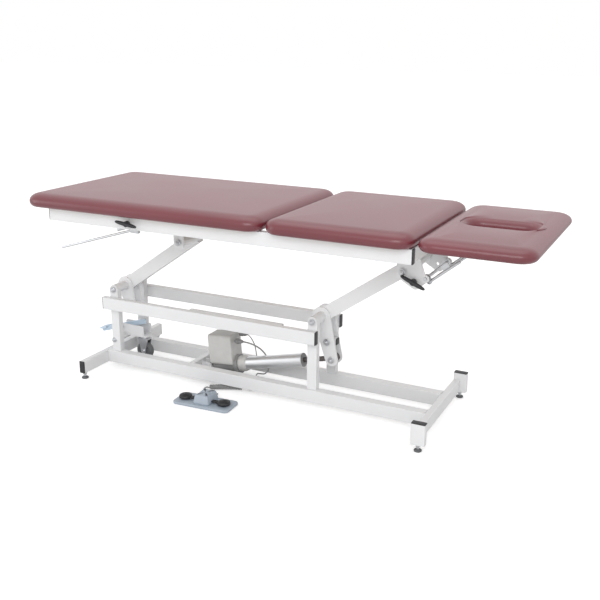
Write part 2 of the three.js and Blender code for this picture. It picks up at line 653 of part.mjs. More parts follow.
/** T-handle on a screw along Y: hub, cross grip and screw reaching to +Y. */
function tKnob(name, screwRadius, screwLength, gripTilt) {
  const grip = new THREE.CapsuleGeometry(KNOB_R, KNOB_LENGTH - 2 * KNOB_R, 4, 14).rotateZ(Math.PI / 2);
  grip.rotateY(-gripTilt * DEG);
  const hub = barY(11, 18, 14).translate(0, 6, 0);
  const screw = barY(screwRadius, screwLength, 12).translate(0, 15 + screwLength / 2, 0);
  return piece(name, join(grip, hub, screw), BLACK_PLASTIC);
}

/** Lower half of the head prop: the cross shaft in the ears with a rod at each end. */
function headPropLower() {
  const shaftLength = 2 * (EAR_Y + PLATE + 4);
  let whole = solidOf(barY(PROP_SHAFT_R, shaftLength, 12));
  const [dx, dz] = PROP_DROP;
  for (const sign of [-1, 1]) {
    const lug = plateXZ(pearShape(12, 9, Math.hypot(dx, dz)), 8).rotateY(-Math.atan2(dz, dx));
    const rod = barX(PROP_ROD_R, PROP_LOWER_LENGTH).translate(PROP_LOWER_LENGTH / 2, 0, 0);
    rod.rotateY(-PROP_ANGLE * DEG).translate(dx, 0, dz);
    whole = whole.add(solidOf(lug.translate(0, sign * PROP_Y, 0)));
    const clipY = PROP_Y - PROP_ROD_R - PROP_CLIP[1] / 2 + 0.5;
    const clip = new THREE.BoxGeometry(...PROP_CLIP).translate(PROP_CLIP_AT, sign * clipY, 8);
    clip.rotateY(-PROP_ANGLE * DEG).translate(dx, 0, dz);
    whole = whole.add(solidOf(rod.translate(0, sign * PROP_Y, 0))).add(solidOf(clip));
  }
  const mesh = piece('head_prop_lower', geometryOf(whole), ZINC);
  mesh.position.set(PROP_SHAFT_X, 0, PROP_SHAFT_Z);
  return mesh;
}

/** Upper half of the head prop: two thin rods on a cross pin under the head board. */
function headPropUpper() {
  const pinLength = 2 * (PROP_CHEEK_Y + SHEET + 2);
  let whole = solidOf(barY(5, pinLength, 12));
  for (const sign of [-1, 1]) {
    const rod = barX(PROP_THIN_R, PROP_THIN_LENGTH).translate(-PROP_THIN_LENGTH / 2, 0, -PROP_THIN_DROP);
    rod.rotateY(-PROP_ANGLE * DEG).translate(0, sign * PROP_THIN_Y, 0);
    whole = whole.add(solidOf(rod));
  }
  const mesh = piece('head_prop_upper', geometryOf(whole), ZINC);
  mesh.position.set(PROP_PIVOT_X, 0, PROP_PIVOT_Z);
  return mesh;
}

/** A bracket under a board: a flat base of the given outline, and two cheeks that hold a pin along Y. */
function underBracket(name, place, base, cheekY, pinRadius) {
  const [x, y, z] = place;
  const reach = CUSHION_UNDER - BOARD_PROUD - SEAT_GAP - z;
  const cheek = roundedRect(BRACKET_WIDTH, reach + 10, 5);
  let whole = solidOf(slab(base, SHEET).translate(0, 0, reach - SHEET / 2));
  for (const sign of [-1, 1]) {
    const plate = plateXZ(cheek, SHEET).translate(0, sign * (cheekY + SHEET / 2), (reach - 10) / 2);
    whole = whole.add(solidOf(plate));
  }
  whole = whole.subtract(solidOf(barY(pinRadius + BORE_GAP, 2 * cheekY + 20, 14)));
  const mesh = piece(name, geometryOf(whole), ZINC);
  mesh.position.set(x, y, z);
  return mesh;
}

/** The head prop's bracket: a strap short of the nose slot, with an arm past each side of the slot. */
function headPropBracket() {
  const half = PROP_CHEEK_Y + SHEET;
  const front = BRACKET_WIDTH / 2;
  const strapFront = HEAD_JOINT_X + SLOT_START - SLOT_WIDTH / 2 - BOARD_INSET / 2 - 5 - PROP_PIVOT_X;
  const strapBack = strapFront - BRACKET_WIDTH;
  const base = new THREE.Shape();
  base.moveTo(strapBack, -half);
  base.lineTo(front, -half);
  base.lineTo(front, -half + PROP_ARM_WIDTH);
  base.lineTo(strapFront, -half + PROP_ARM_WIDTH);
  base.lineTo(strapFront, half - PROP_ARM_WIDTH);
  base.lineTo(front, half - PROP_ARM_WIDTH);
  base.lineTo(front, half);
  base.lineTo(strapBack, half);
  return underBracket('head_prop_bracket', [PROP_PIVOT_X, 0, PROP_PIVOT_Z], base, PROP_CHEEK_Y, 5);
}

function footPropBracket() {
  const cheekY = 7;
  const base = roundedRect(BRACKET_WIDTH, 2 * (cheekY + SHEET), 1);
  return underBracket('foot_prop_bracket', [FOOT_ROD_X, FOOT_ROD_Y, FOOT_ROD_Z], base, cheekY, 4);
}

/** Foot prop: a long rod with an eye and pin at its upper end. */
function footPropRod() {
  const rod = barX(FOOT_ROD_R, FOOT_ROD_LENGTH).translate(-FOOT_ROD_LENGTH / 2, 0, 0);
  rod.rotateY(-FOOT_ROD_ANGLE * DEG);
  const mesh = piece('foot_prop_rod', join(rod, barY(8, 12, 12), barY(4, 30, 14)), ZINC);
  mesh.position.set(FOOT_ROD_X, FOOT_ROD_Y, FOOT_ROD_Z);
  return mesh;
}

/** Clamp that the foot prop's rod lies against: a block on the rail and a sloping sleeve. */
function footPropClamp() {
  const railIn = DECK_OUT - TUBE_THIN - SEAT_GAP;
  const drop = (FOOT_ROD_X - FOOT_CLAMP_X) * Math.tan(FOOT_ROD_ANGLE * DEG);
  const rodZ = FOOT_ROD_Z - drop;
  const faceY = FOOT_ROD_Y - FOOT_ROD_R - SEAT_GAP;
  const depth = railIn + faceY;
  const top = DECK_TOP - 12;
  const block = new THREE.BoxGeometry(34, depth, top - rodZ + 12);
  block.translate(FOOT_CLAMP_X, faceY - depth / 2, (top + rodZ - 12) / 2);
  const sleeve = barX(depth / 2 - 0.2, 96).translate(-30, 0, 17).rotateY(-FOOT_ROD_ANGLE * DEG);
  sleeve.translate(FOOT_CLAMP_X, faceY - depth / 2, rodZ);
  return piece('foot_prop_clamp', join(block, sleeve), ZINC);
}

// ================= upholstery =================

/** A cushion outline in plan between two x values. */
function planShape(x0, x1, inset, corner) {
  return roundedRect(x1 - x0 - 2 * inset, COUCH_WIDTH - 2 * inset, corner);
}

/** The nose slot's outline in plan, grown by a margin. */
function slotPath(middleX, margin, into) {
  const start = HEAD_JOINT_X + SLOT_START - middleX;
  const radius = SLOT_WIDTH / 2 + margin;
  into.absarc(start, 0, radius, Math.PI / 2, Math.PI * 1.5, false);
  into.absarc(start + SLOT_LENGTH, 0, radius, -Math.PI / 2, Math.PI / 2, false);
  return into;
}

/** One section: the cushion's plain solid over its board, each clear of the other. */
function section(name, x0, x1, thickness, withSlot) {
  const middle = (x0 + x1) / 2;
  const round = CUSHION_ROUND;
  const shape = planShape(x0, x1, round, CUSHION_CORNER - round);
  const boardUnder = CUSHION_UNDER - BOARD_PROUD;
  const boardShape = planShape(x0, x1, BOARD_INSET, CUSHION_CORNER - BOARD_INSET + 10);
  const pocketShape = planShape(x0, x1, BOARD_INSET - SEAT_GAP, CUSHION_CORNER - BOARD_INSET + 10);
  if (withSlot) {
    shape.holes.push(slotPath(middle, round, new THREE.Path()));
    boardShape.holes.push(slotPath(middle, BOARD_INSET / 2, new THREE.Path()));
    pocketShape.holes.push(slotPath(middle, BOARD_INSET / 2 - SEAT_GAP, new THREE.Path()));
  }
  const depth = thickness - 2 * round;
  const bevel = { depth, bevelThickness: round, bevelSize: round, bevelSegments: 3, curveSegments: 5 };
  const body = new THREE.ExtrudeGeometry(shape, bevel).translate(middle, 0, CUSHION_UNDER + round);
  const pocketDepth = BOARD_THICK - BOARD_PROUD + SEAT_GAP;
  const pocket = slab(pocketShape, pocketDepth + 2).translate(middle, 0, CUSHION_UNDER + pocketDepth / 2 - 1);
  const board = slab(boardShape, BOARD_THICK).translate(middle, 0, boardUnder + BOARD_THICK / 2);
  return [
    piece(`${name}_cushion`, cut(body, pocket), VINYL),
    piece(`${name}_board`, board, PLYWOOD),
  ];
}

function upholstery() {
  const half = COUCH_LENGTH / 2;
  const gap = CUSHION_GAP / 2;
  return [
    ...section('foot', -half, FOOT_JOINT_X - gap, CUSHION_THICK, false),
    ...section('middle', FOOT_JOINT_X + gap, HEAD_JOINT_X - gap, CUSHION_THICK, false),
    ...section('head', HEAD_JOINT_X + gap, half, CUSHION_THICK - HEAD_THIN, true),
  ];
}

// ================= caster =================

/** Cross tube between the foot uprights with two cheeks and a plate that carry the caster. */
function casterCarrier() {
  const length = 2 * (UPRIGHT_IN - SIDE_PLAY);
  const stemTop = CASTER_CENTRE_Z + 66;
  const reach = CASTER_X - CARRIER_X + 14;
  let whole = solidOf(barY(15, length, 20).translate(CARRIER_X, 0, CARRIER_Z));
  const arm = new THREE.BoxGeometry(reach + 12, 2 * CHEEK_Y, 8);
  whole = whole.add(solidOf(arm.translate(CARRIER_X + (reach + 12) / 2, 0, stemTop + 4)));
  const cheekX0 = LEVER_BOLT_X - 14;
  const cheekLength = CARRIER_X + reach - cheekX0;
  for (const sign of [-1, 1]) {
    const cheek = plateXZ(roundedRect(cheekLength, 48, 8), 5);
    cheek.translate(cheekX0 + cheekLength / 2, sign * CHEEK_Y, LEVER_BOLT_Z - 8);
    const end = barY(SHAFT_R, TUBE_THIN, 12);
    end.translate(CARRIER_X, sign * (UPRIGHT_IN + TUBE_THIN / 2 - 2), CARRIER_Z);
    whole = whole.add(solidOf(cheek)).add(solidOf(end));
  }
  const stemBore = barZ(6 + BORE_GAP, 30, 14).translate(CASTER_X, 0, stemTop);
  const boltBore = barY(6 + BORE_GAP, 3 * CHEEK_Y, 14).translate(LEVER_BOLT_X, 0, LEVER_BOLT_Z);
  whole = whole.subtract(solidOf(stemBore)).subtract(solidOf(boltBore));
  return piece('caster_carrier', geometryOf(whole), GREY_PLASTIC);
}

/** The foot lever, its toe pad and the bolt that holds it between the carrier's cheeks. */
function casterLever() {
  const bar = plateXZ(roundedRect(LEVER_LENGTH, 20, 6), 8).translate(LEVER_AHEAD - LEVER_LENGTH / 2, 0, 0);
  const pad = new THREE.BoxGeometry(34, 40, 7).translate(LEVER_AHEAD - LEVER_LENGTH + 20, 0, 8);
  const bolt = headedShaft(6, 2 * (CHEEK_Y + 2.5 + SEAT_GAP), 11, 6);
  const lever = piece('caster_lever', join(bar, pad, bolt), BLUE_PAINT);
  lever.position.set(LEVER_BOLT_X, 0, LEVER_BOLT_Z);
  lever.rotation.y = -LEVER_TILT * DEG;
  return lever;
}

function casterFork() {
  const top = 62;
  const halfInside = WHEEL_WIDTH / 2 + SIDE_PLAY;
  const lean = new THREE.Shape();
  lean.moveTo(-24, top - 6);
  lean.lineTo(-11, -6);
  lean.absarc(0, 0, 12, Math.PI + 0.5, 2 * Math.PI - 0.5, false);
  lean.lineTo(24, top - 6);
  let whole = solidOf(new THREE.BoxGeometry(48, 2 * halfInside + 6, 5).translate(0, 0, top - 8.5));
  for (const sign of [-1, 1]) {
    whole = whole.add(solidOf(plateXZ(lean, 3).translate(0, sign * (halfInside + 1.5), 0)));
  }
  whole = whole.add(solidOf(barZ(17, 7, 24).translate(0, 0, top - 3)));
  whole = whole.add(solidOf(barZ(6, 12, 16).translate(0, 0, top + 6)));
  whole = whole.add(solidOf(headedShaft(4, 2 * halfInside + 6, 7, 4)));
  const mesh = piece('caster_fork', geometryOf(whole), ZINC);
  mesh.position.set(CASTER_X, 0, CASTER_CENTRE_Z);
  return mesh;
}

function casterWheel() {
  const half = WHEEL_WIDTH / 2;
  const bore = 4 + BORE_GAP;
  const profile = [
    [bore, -half], [12, -half], [14, -half + 4], [26, -half + 4], [29, -half], [WHEEL_R - 4, -half],
    [WHEEL_R - 1, -half + 3], [WHEEL_R, 0], [WHEEL_R - 1, half - 3], [WHEEL_R - 4, half], [29, half],
    [26, half - 4], [14, half - 4], [12, half], [bore, half], [bore, -half],
  ].map(([r, y]) => new THREE.Vector2(r, y));
  const mesh = piece('caster_wheel', new THREE.LatheGeometry(profile, 24), GREY_RUBBER);
  mesh.position.set(CASTER_X, 0, CASTER_CENTRE_Z);
  return mesh;
}

// ================= foot switch and cord =================

function footSwitch() {
  const group = new THREE.Group();
  group.position.set(SWITCH_X, SWITCH_Y, 0);
  group.rotation.z = SWITCH_TURN * DEG;
  const [length, width, height] = SWITCH_SIZE;
  const plate = slab(roundedRect(length, width, 18), height).translate(0, 0, height / 2);
  const hump = new THREE.Shape();
  hump.moveTo(-34, 0);
  hump.lineTo(34, 0);
  hump.lineTo(20, 30);
  hump.absarc(14, 30, 6, 0, Math.PI / 2, false);
  hump.lineTo(-14, 36);
  hump.absarc(-14, 30, 6, Math.PI / 2, Math.PI, false);
  const ridge = plateXZ(hump, width - 14).translate(0, 3, height - 1);
  group.add(piece('foot_switch_base', join(plate, ridge), SWITCH_GREY));
  const dome = [
    [0, 0], [PEDAL_R - 2, 0], [PEDAL_R, 3], [PEDAL_R, 9], [PEDAL_R - 4, 14], [PEDAL_R - 12, 17], [0, 18],
  ].map(([r, z]) => new THREE.Vector2(r, z));
  for (const [name, sign] of [['raise_pedal', 1], ['lower_pedal', -1]]) {
    const pad = new THREE.LatheGeometry(dome, 28).rotateX(Math.PI / 2);
    const reach = PEDAL_SPREAD - PEDAL_TONGUE_END;
    const tongue = new THREE.BoxGeometry(reach - 14, 18, 6).translate(-sign * (reach + 14) / 2, 0, 5);
    const pedal = piece(name, join(pad, tongue), BLACK_PLASTIC);
    pedal.position.set(sign * PEDAL_SPREAD, -6, height + 4);
    group.add(pedal);
  }
  return group;
}

/** A tube of even radius along a smooth curve through points. */
function cordTube(points, radius, steps, sides) {
  const path = new THREE.CatmullRomCurve3(points.map((p) => new THREE.Vector3(...p)));
  const shape = new THREE.Shape();
  for (let i = 0; i < sides; i += 1) {
    const turn = (2 * Math.PI * i) / sides;
    const move = i === 0 ? 'moveTo' : 'lineTo';
    shape[move](radius * Math.cos(turn), radius * Math.sin(turn));
  }
  return new THREE.ExtrudeGeometry(shape, { steps, bevelEnabled: false, extrudePath: path });
}

// Routes in the stored pose, chosen point by point.
const BOX_LEAD = [
  [-233, -14, 176], [-214, -14, 178], [-186, -14, 179], [-158, -6, 172], [-135, 14, 152], [-120, 34, 122],
  [-106, 34, 92], [-97, 16, 68], [-97, -14, 62], [-101, -40, 70], [-106, -58, 76], [-108, -64, 70],
  [-108, -64, 64.3],
];
const SUPPLY_LEAD = [
  [-108, -64, 33.7], [-108, -64, 24], [-113, -64, 11], [-126, -64, 4.5], [-141, -65.5, 4.5], [-153, -67.5, 8],
  [-160.3, -69.7, 11.1], [-165.5, -71.8, 11.5],
];
const CURLED_CORD = [
  [-166, -72, 11.5], [-200, -86, 11.5], [-245, -106, 11.5], [-282, -128, 11.5],
];
const SWITCH_LEAD = [
  [-282.4, -128.3, 11.5], [-292, -135, 12], [-297, -147, 8], [-288, -161, 3.6], [-262, -172, 3.6],
  [-234, -178, 5], [-216, -184, 14], [-208, -191, 22], [-207, -199.9, 24],
];

/** In-line coupler clipped to the inner face of the near base rail. */
function cordCoupler() {
  const [width, depth, height] = COUPLER;
  const y = -(RAIL_OUT - TUBE_MID - SEAT_GAP - depth / 2);
  const box = slab(roundedRect(width, height, 5), depth).rotateX(Math.PI / 2);
  const coupler = piece('cord_coupler', box, BLACK_PLASTIC);
  coupler.position.set(SUPPLY_LEAD[0][0], y, SUPPLY_LEAD[0][2] + SEAT_GAP + height / 2);
  return coupler;
}

function cords() {
  return [
    piece('box_lead', cordTube(BOX_LEAD, LEAD_R, 40, 8), CORD_GREY),
    piece('supply_lead', cordTube(SUPPLY_LEAD, LEAD_R, 16, 8), CORD_GREY),
    piece('curled_cord', cordTube(CURLED_CORD, CURL_R, 8, 12), CORD_GREY),
    piece('switch_lead', cordTube(SWITCH_LEAD, LEAD_R, 22, 8), CORD_GREY),
  ];
}

const couch = new THREE.Group();
couch.add(...baseTubes(), ...glides(), ...uprightsAndRails());
couch.add(...liftArms(), tieBar(), actuator(), actuatorMount());
couch.add(...deckRails(), ...liftCrossmembers());
const headKnob = tKnob('head_prop_knob', 5, 30, -24);
headKnob.position.set(HEAD_PIVOT_X + ARM_DX + HEAD_EAR_REACH, -(EAR_Y + PLATE + 17), PIVOT_Z + ARM_DZ - 28);
const footKnob = tKnob('foot_prop_knob', 6, 8, -8);
footKnob.position.set(FOOT_CLAMP_X, -(DECK_OUT + 23 + SEAT_GAP), DECK_TOP - TUBE_TALL / 2);
couch.add(headKnob, footKnob, headPropLower(), headPropUpper(), footPropRod(), footPropClamp());
couch.add(headPropBracket(), footPropBracket());
couch.add(...upholstery(), casterCarrier(), casterLever(), casterFork(), casterWheel());
couch.add(footSwitch(), cordCoupler(), ...cords());

export default couch;
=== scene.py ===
"""A powered three-section examination couch: the looks of every piece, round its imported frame.

Lengths are in metres. X runs along the couch to the head end, -Y is the near side and Z is up.
"""
import json
import math

import bmesh
import bpy
import numpy as np
from mathutils import Matrix, Vector


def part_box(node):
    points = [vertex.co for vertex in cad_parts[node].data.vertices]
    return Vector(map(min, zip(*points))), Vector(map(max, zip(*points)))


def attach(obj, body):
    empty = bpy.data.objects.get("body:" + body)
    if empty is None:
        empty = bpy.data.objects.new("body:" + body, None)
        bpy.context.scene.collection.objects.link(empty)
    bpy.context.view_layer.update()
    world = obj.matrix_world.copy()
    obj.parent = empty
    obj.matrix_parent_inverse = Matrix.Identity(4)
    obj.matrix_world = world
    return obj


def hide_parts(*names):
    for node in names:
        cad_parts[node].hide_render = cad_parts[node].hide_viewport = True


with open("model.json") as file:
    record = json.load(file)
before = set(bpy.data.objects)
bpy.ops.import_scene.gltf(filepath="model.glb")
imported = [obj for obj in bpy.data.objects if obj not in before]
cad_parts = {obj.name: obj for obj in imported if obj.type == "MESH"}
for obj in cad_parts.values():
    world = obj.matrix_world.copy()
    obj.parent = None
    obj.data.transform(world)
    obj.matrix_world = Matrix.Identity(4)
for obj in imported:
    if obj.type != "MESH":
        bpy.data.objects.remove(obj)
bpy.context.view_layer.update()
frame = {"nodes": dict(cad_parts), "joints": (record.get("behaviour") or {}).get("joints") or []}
joints = {joint["name"]: joint for joint in frame["joints"]}

# ---- sizes ----
TUBE_THIN = 0.0254
TUBE_TALL = 0.0508
CAP_PROUD = 0.003
LEAD_R = 0.003
CURL_R = 0.0105
CURL_PITCH = 0.0064
CURL_STEPS = 18                 # points in each turn of the curly cord
SPINE_POINTS = 400              # points along the middle of its curly stretch
CUSHION_CORNER = 0.060
ROLL_WIDTH = 0.056              # how far in the rolled edge runs
ROLL_FOOT = 0.020               # where the lower roll meets the board
ROLL_WAIST = 0.40               # height of the widest line, as a share of the thickness
CROWN = 0.0035
SLOT_R = 0.050
SLOT_MIDDLE = 0.191             # from the head cushion's inner end to the middle of its slot
SLOT_HALF = 0.176               # half the slot's straight part, as a share of the cushion's length
RING_POINTS = 320               # points round each ring of a cushion
CRANK_FACE = 0.0302             # from the middle plane to the crank plates' outer faces
GRIP_R = 0.0075                 # the knobs' grips, at their middle
GRIP_HALF = 0.048
NUT_GAP = 0.0002                # a washer stands this far off its shaft's end
FLOOR_GLOW = 0.45               # the floor's own light, so that it shows as white
ROOM_LIGHT = 0.84               # the white surround's light on the couch


# =============== camera, light and floor ===============

def make_camera():
    """A camera at standing height in front of the head end."""
    data = bpy.data.cameras.new("camera")
    data.lens = 51.2
    data.sensor_width = 36
    data.clip_end = 100
    camera = bpy.data.objects.new("camera", data)
    turn = Matrix.Rotation(math.radians(25.9), 4, "Z")
    tilt = Matrix.Rotation(math.radians(90 - 17.2), 4, "X")
    roll = Matrix.Rotation(math.radians(0.5), 4, "Z")
    camera.matrix_world = Matrix.Translation((1.3945, -2.7738, 1.3375)) @ turn @ tilt @ roll
    bpy.context.scene.collection.objects.link(camera)
    bpy.context.scene.camera = camera
    bpy.context.scene.view_settings.view_transform = "Standard"


def soft_light(name, place, target, size, watts):
    """A rectangular soft box that faces a target point."""
    data = bpy.data.lights.new(name, "AREA")
    data.shape = "RECTANGLE"
    data.size, data.size_y = size
    data.energy = watts
    light = bpy.data.objects.new(name, data)
    light.location = place
    light.rotation_euler = (Vector(target) - Vector(place)).to_track_quat("-Z", "Y").to_euler()
    bpy.context.scene.collection.objects.link(light)


# =============== shader expressions ===============

class Field:
    """A number that varies over a surface: sums and products of fields add Math nodes."""

    def __init__(self, finish, socket):
        self.finish = finish
        self.socket = socket

    def math(self, operation, left, right):
        return self.finish.add("ShaderNodeMath", {"operation": operation}, {0: left, 1: right})

    def __add__(self, other):
        return self.math("ADD", self, other)

    def __sub__(self, other):
        return self.math("SUBTRACT", self, other)

    def __rsub__(self, other):
        return self.math("SUBTRACT", other, self)

    def __mul__(self, other):
        return self.math("MULTIPLY", self, other)

    __radd__ = __add__
    __rmul__ = __mul__


class Finish:
    """One material with its shader, and the method that adds any other node to it."""

    def __init__(self, name, colour, roughness, sockets=None):
        self.material = bpy.data.materials.new(name)
        self.material.use_nodes = True
        self.tree = self.material.node_tree
        self.shader = self.tree.nodes["Principled BSDF"]
        self.shader.inputs["Base Color"].default_value = (*colour, 1)
        self.shader.inputs["Roughness"].default_value = roughness
        for socket, value in (sockets or {}).items():
            self.shader.inputs[socket].default_value = value
        self.material.diffuse_color = (*colour, 1)

    def add(self, kind, settings=None, values=None, out=0):
        """Adds a node, sets it, feeds its sockets and gives one of its outputs."""
        node = self.tree.nodes.new(kind)
        for name, value in (settings or {}).items():
            setattr(node, name, value)
        for socket, value in (values or {}).items():
            self.feed(node.inputs[socket], value)
        return Field(self, node.outputs[out])

    def feed(self, socket, value):
        """Links a field to a socket, or sets the socket to a fixed value."""
        if isinstance(value, Field):
            self.tree.links.new(value.socket, socket)
        elif isinstance(value, tuple) and len(value) == 3 and socket.type == "RGBA":
            socket.default_value = (*value, 1)
        else:
            socket.default_value = value

    def place(self):
        """The point's own place in the part's frame, in metres."""
        return self.add("ShaderNodeTexCoord", out="Object")

    def stretched(self, scale):
        """The place, stretched along each axis."""
        return self.add("ShaderNodeMapping", {}, {"Vector": self.place(), "Scale": scale})

    def noise(self, scale, detail=3.0, where=None):
        """Smooth noise from 0 to 1, with so many waves in a metre."""
        values = {"Vector": where or self.place(), "Scale": scale, "Detail": detail}
        return self.add("ShaderNodeTexNoise", {}, values)

    def cells(self, scale):
        """Distance to the nearest point of a scattered set."""
        return self.add("ShaderNodeTexVoronoi", {}, {"Vector": self.place(), "Scale": scale})

    def blend(self, factor, first, second):
        """One colour turning into another."""
        return self.add("ShaderNodeMix", {"data_type": "RGBA"}, {0: factor, 6: first, 7: second}, out=2)

    def bump(self, height, distance, strength):
        """Fine relief, with its full depth in metres."""
        values = {"Height": height, "Distance": distance, "Strength": strength}
        self.feed(self.shader.inputs["Normal"], self.add("ShaderNodeBump", {}, values))

    def colour(self, value):
        self.feed(self.shader.inputs["Base Color"], value)

    def roughness(self, value):
        self.feed(self.shader.inputs["Roughness"], value)


# =============== finishes ===============

def tinted(colour, share):
    """A colour made darker or lighter by a share, up to white."""
    return tuple(min(1.0, share * part) for part in colour)


def powder_coat(name, colour):
    """Gloss powder coat: fine orange peel, and a gloss that varies a little."""
    finish = Finish(name, colour, 0.34)
    peel = finish.noise(650, 2)
    broad = finish.noise(9, 3)
    finish.bump(peel, 0.00012, 0.5)
    finish.roughness(0.28 + 0.1 * broad + 0.06 * peel)
    finish.colour(finish.blend(broad, tinted(colour, 0.965), tinted(colour, 1.02)))
    return finish.material


def zinc_plate(name, colour, rough=0.26):
    """Bright zinc: faint drawn streaks and a cloudy passivated tint."""
    finish = Finish(name, colour, rough, {"Metallic": 1.0})
    cloud = finish.noise(60, 4)
    streak = finish.noise(900, 2, finish.stretched((0.12, 0.12, 1.0)))
    finish.colour(finish.blend(cloud, tinted(colour, 0.86), tinted(colour, 1.08)))
    finish.roughness(rough - 0.06 + 0.16 * cloud + 0.08 * streak)
    finish.bump(streak, 0.00008, 0.35)
    return finish.material


def moulded_plastic(name, colour, rough, grain=0.00010):
    """Moulded plastic: a fine spark-eroded grain and slight mottling."""
    finish = Finish(name, colour, rough)
    pits = finish.cells(1500)
    cloud = finish.noise(35, 3)
    finish.bump(pits, grain, 0.6)
    finish.roughness(rough - 0.07 + 0.14 * cloud)
    finish.colour(finish.blend(cloud, tinted(colour, 0.9), tinted(colour, 1.1)))
    return finish.material


def brushed_aluminium(name):
    """Extruded aluminium: die lines along the actuator's length."""
    finish = Finish(name, (0.80, 0.81, 0.83), 0.3, {"Metallic": 0.85})
    line = finish.noise(420, 2, finish.stretched((0.03, 1.0, 1.0)))
    finish.roughness(0.26 + 0.16 * line)
    finish.colour(finish.blend(line, (0.74, 0.75, 0.77), (0.86, 0.87, 0.89)))
    finish.bump(line, 0.00006, 0.4)
    return finish.material


def upholstery_vinyl(name):
    """Burgundy upholstery vinyl: a fine pebbled grain, soft gloss and faint tone changes."""
    deep, bright = (0.125, 0.0135, 0.022), (0.175, 0.021, 0.034)
    gloss = {"Specular IOR Level": 0.7, "Coat Weight": 0.35, "Coat Roughness": 0.24}
    finish = Finish(name, deep, 0.36, gloss)
    pebble = finish.cells(1100)
    fold = finish.noise(700, 3)
    broad = finish.noise(5, 3)
    finish.colour(finish.blend(broad, deep, bright))
    finish.roughness(0.31 + 0.07 * broad + 0.07 * pebble)
    finish.bump(pebble + 0.6 * fold, 0.00011, 0.45)
    return finish.material


def birch_plywood(name):
    """Plywood underside: long grain along X with darker latewood lines."""
    finish = Finish(name, (0.36, 0.24, 0.13), 0.68)
    figure = finish.noise(3.2, 4, finish.stretched((0.5, 7.0, 7.0)))
    fibre = finish.noise(260, 3, finish.stretched((0.05, 1.0, 1.0)))
    wood = finish.blend(figure, (0.27, 0.165, 0.085), (0.45, 0.31, 0.18))
    finish.colour(finish.blend(fibre * 0.35, wood, (0.22, 0.13, 0.07)))
    finish.roughness(0.6 + 0.2 * fibre)
    finish.bump(fibre, 0.00015, 0.5)
    return finish.material


def make_finishes():
    """Every finish on the couch, under the name that the pieces ask for."""
    return {
        "white_paint": powder_coat("white_powder_coat", (0.80, 0.805, 0.815)),
        "zinc": zinc_plate("bright_zinc", (0.62, 0.63, 0.65)),
        "dark_steel": zinc_plate("oiled_steel", (0.17, 0.155, 0.15), 0.36),
        "black_plastic": moulded_plastic("black_moulding", (0.022, 0.022, 0.026), 0.46),
        "grey_plastic": moulded_plastic("pale_grey_moulding", (0.58, 0.575, 0.56), 0.46),
        "dark_grey_plastic": moulded_plastic("dark_grey_moulding", (0.27, 0.27, 0.27), 0.5),
        "switch_grey": moulded_plastic("foot_switch_moulding", (0.40, 0.46, 0.53), 0.4),
        "blue_paint": powder_coat("pale_blue_paint", (0.58, 0.70, 0.82)),
        "aluminium": brushed_aluminium("extruded_aluminium"),
        "vinyl": upholstery_vinyl("burgundy_vinyl"),
        "plywood": birch_plywood("birch_plywood"),
        "grey_rubber": moulded_plastic("grey_rubber", (0.135, 0.14, 0.145), 0.62),
        "cord_grey": moulded_plastic("grey_cord_sheath", (0.30, 0.30, 0.30), 0.5, 0.00004),
    }


# =============== surfaces ===============

def surface(name, body, finish, points, wrap_rows=False, wrap_columns=True, sharp=40):
    """A mesh from a grid of points (rows, columns, 3). Each cell is a face; a grid may wrap either way.

    Rows whose points coincide close into a pole.
    """
    rows, columns = points.shape[:2]
    row, column = np.meshgrid(
        np.arange(rows if wrap_rows else rows - 1),
        np.arange(columns if wrap_columns else columns - 1),
        indexing="ij",
    )
    next_row = (row + 1) % rows
    next_column = (column + 1) % columns
    corners = [row * columns + column, row * columns + next_column]
    corners += [next_row * columns + next_column, next_row * columns + column]
    faces = np.stack(corners, axis=-1).reshape(-1, 4)
    return raw_mesh(name, body, finish, points.reshape(-1, 3), faces, sharp)


def raw_mesh(name, body, finish, points, faces, sharp=40):
    """A mesh from points and faces: doubles merged, faces turned outwards, smooth up to an angle."""
    mesh = bpy.data.meshes.new(name)
    mesh.from_pydata(points.tolist(), [], faces.tolist())
    tidy = bmesh.new()
    tidy.from_mesh(mesh)
    bmesh.ops.remove_doubles(tidy, verts=tidy.verts, dist=1e-6)
    bmesh.ops.dissolve_degenerate(tidy, edges=tidy.edges, dist=1e-7)
    bmesh.ops.recalc_face_normals(tidy, faces=tidy.faces)
    tidy.to_mesh(mesh)
    tidy.free()
    mesh.shade_smooth()
    mesh.set_sharp_from_angle(angle=math.radians(sharp))
    mesh.materials.append(FINISHES[finish])
    piece = bpy.data.objects.new(name, mesh)
    bpy.context.scene.collection.objects.link(piece)
    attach(piece, body)
    return piece


def joined(name, pieces):
    """Several meshes on one body, joined into one."""
    with bpy.context.temp_override(active_object=pieces[0], selected_editable_objects=pieces):
        bpy.ops.object.join()
    pieces[0].name = name
    return pieces[0]


def axes_along(direction):
    """Two unit vectors across a direction, and the direction itself, as rows."""
    along = np.array(direction, float) / np.linalg.norm(direction)
    helper = np.array([0, 1.0, 0]) if abs(along[1]) < 0.9 else np.array([0, 0, 1.0])
    side = np.cross(helper, along)
    side /= np.linalg.norm(side)
    return np.stack([side, np.cross(along, side), along])


def lathe(name, body, finish, profile, place, direction, sides=48, sharp=35):
    """A profile of (radius, distance along the axis) turned about an axis through a place."""
    profile = np.array(profile, float)
    turn = np.linspace(0, 2 * math.pi, sides, endpoint=False)
    radius, along = profile[:, 0, None], profile[:, 1, None]
    local = np.stack(
        [radius * np.cos(turn), radius * np.sin(turn), along + 0 * turn], axis=-1
    )
    return surface(name, body, finish, local @ axes_along(direction) + np.array(place), sharp=sharp)


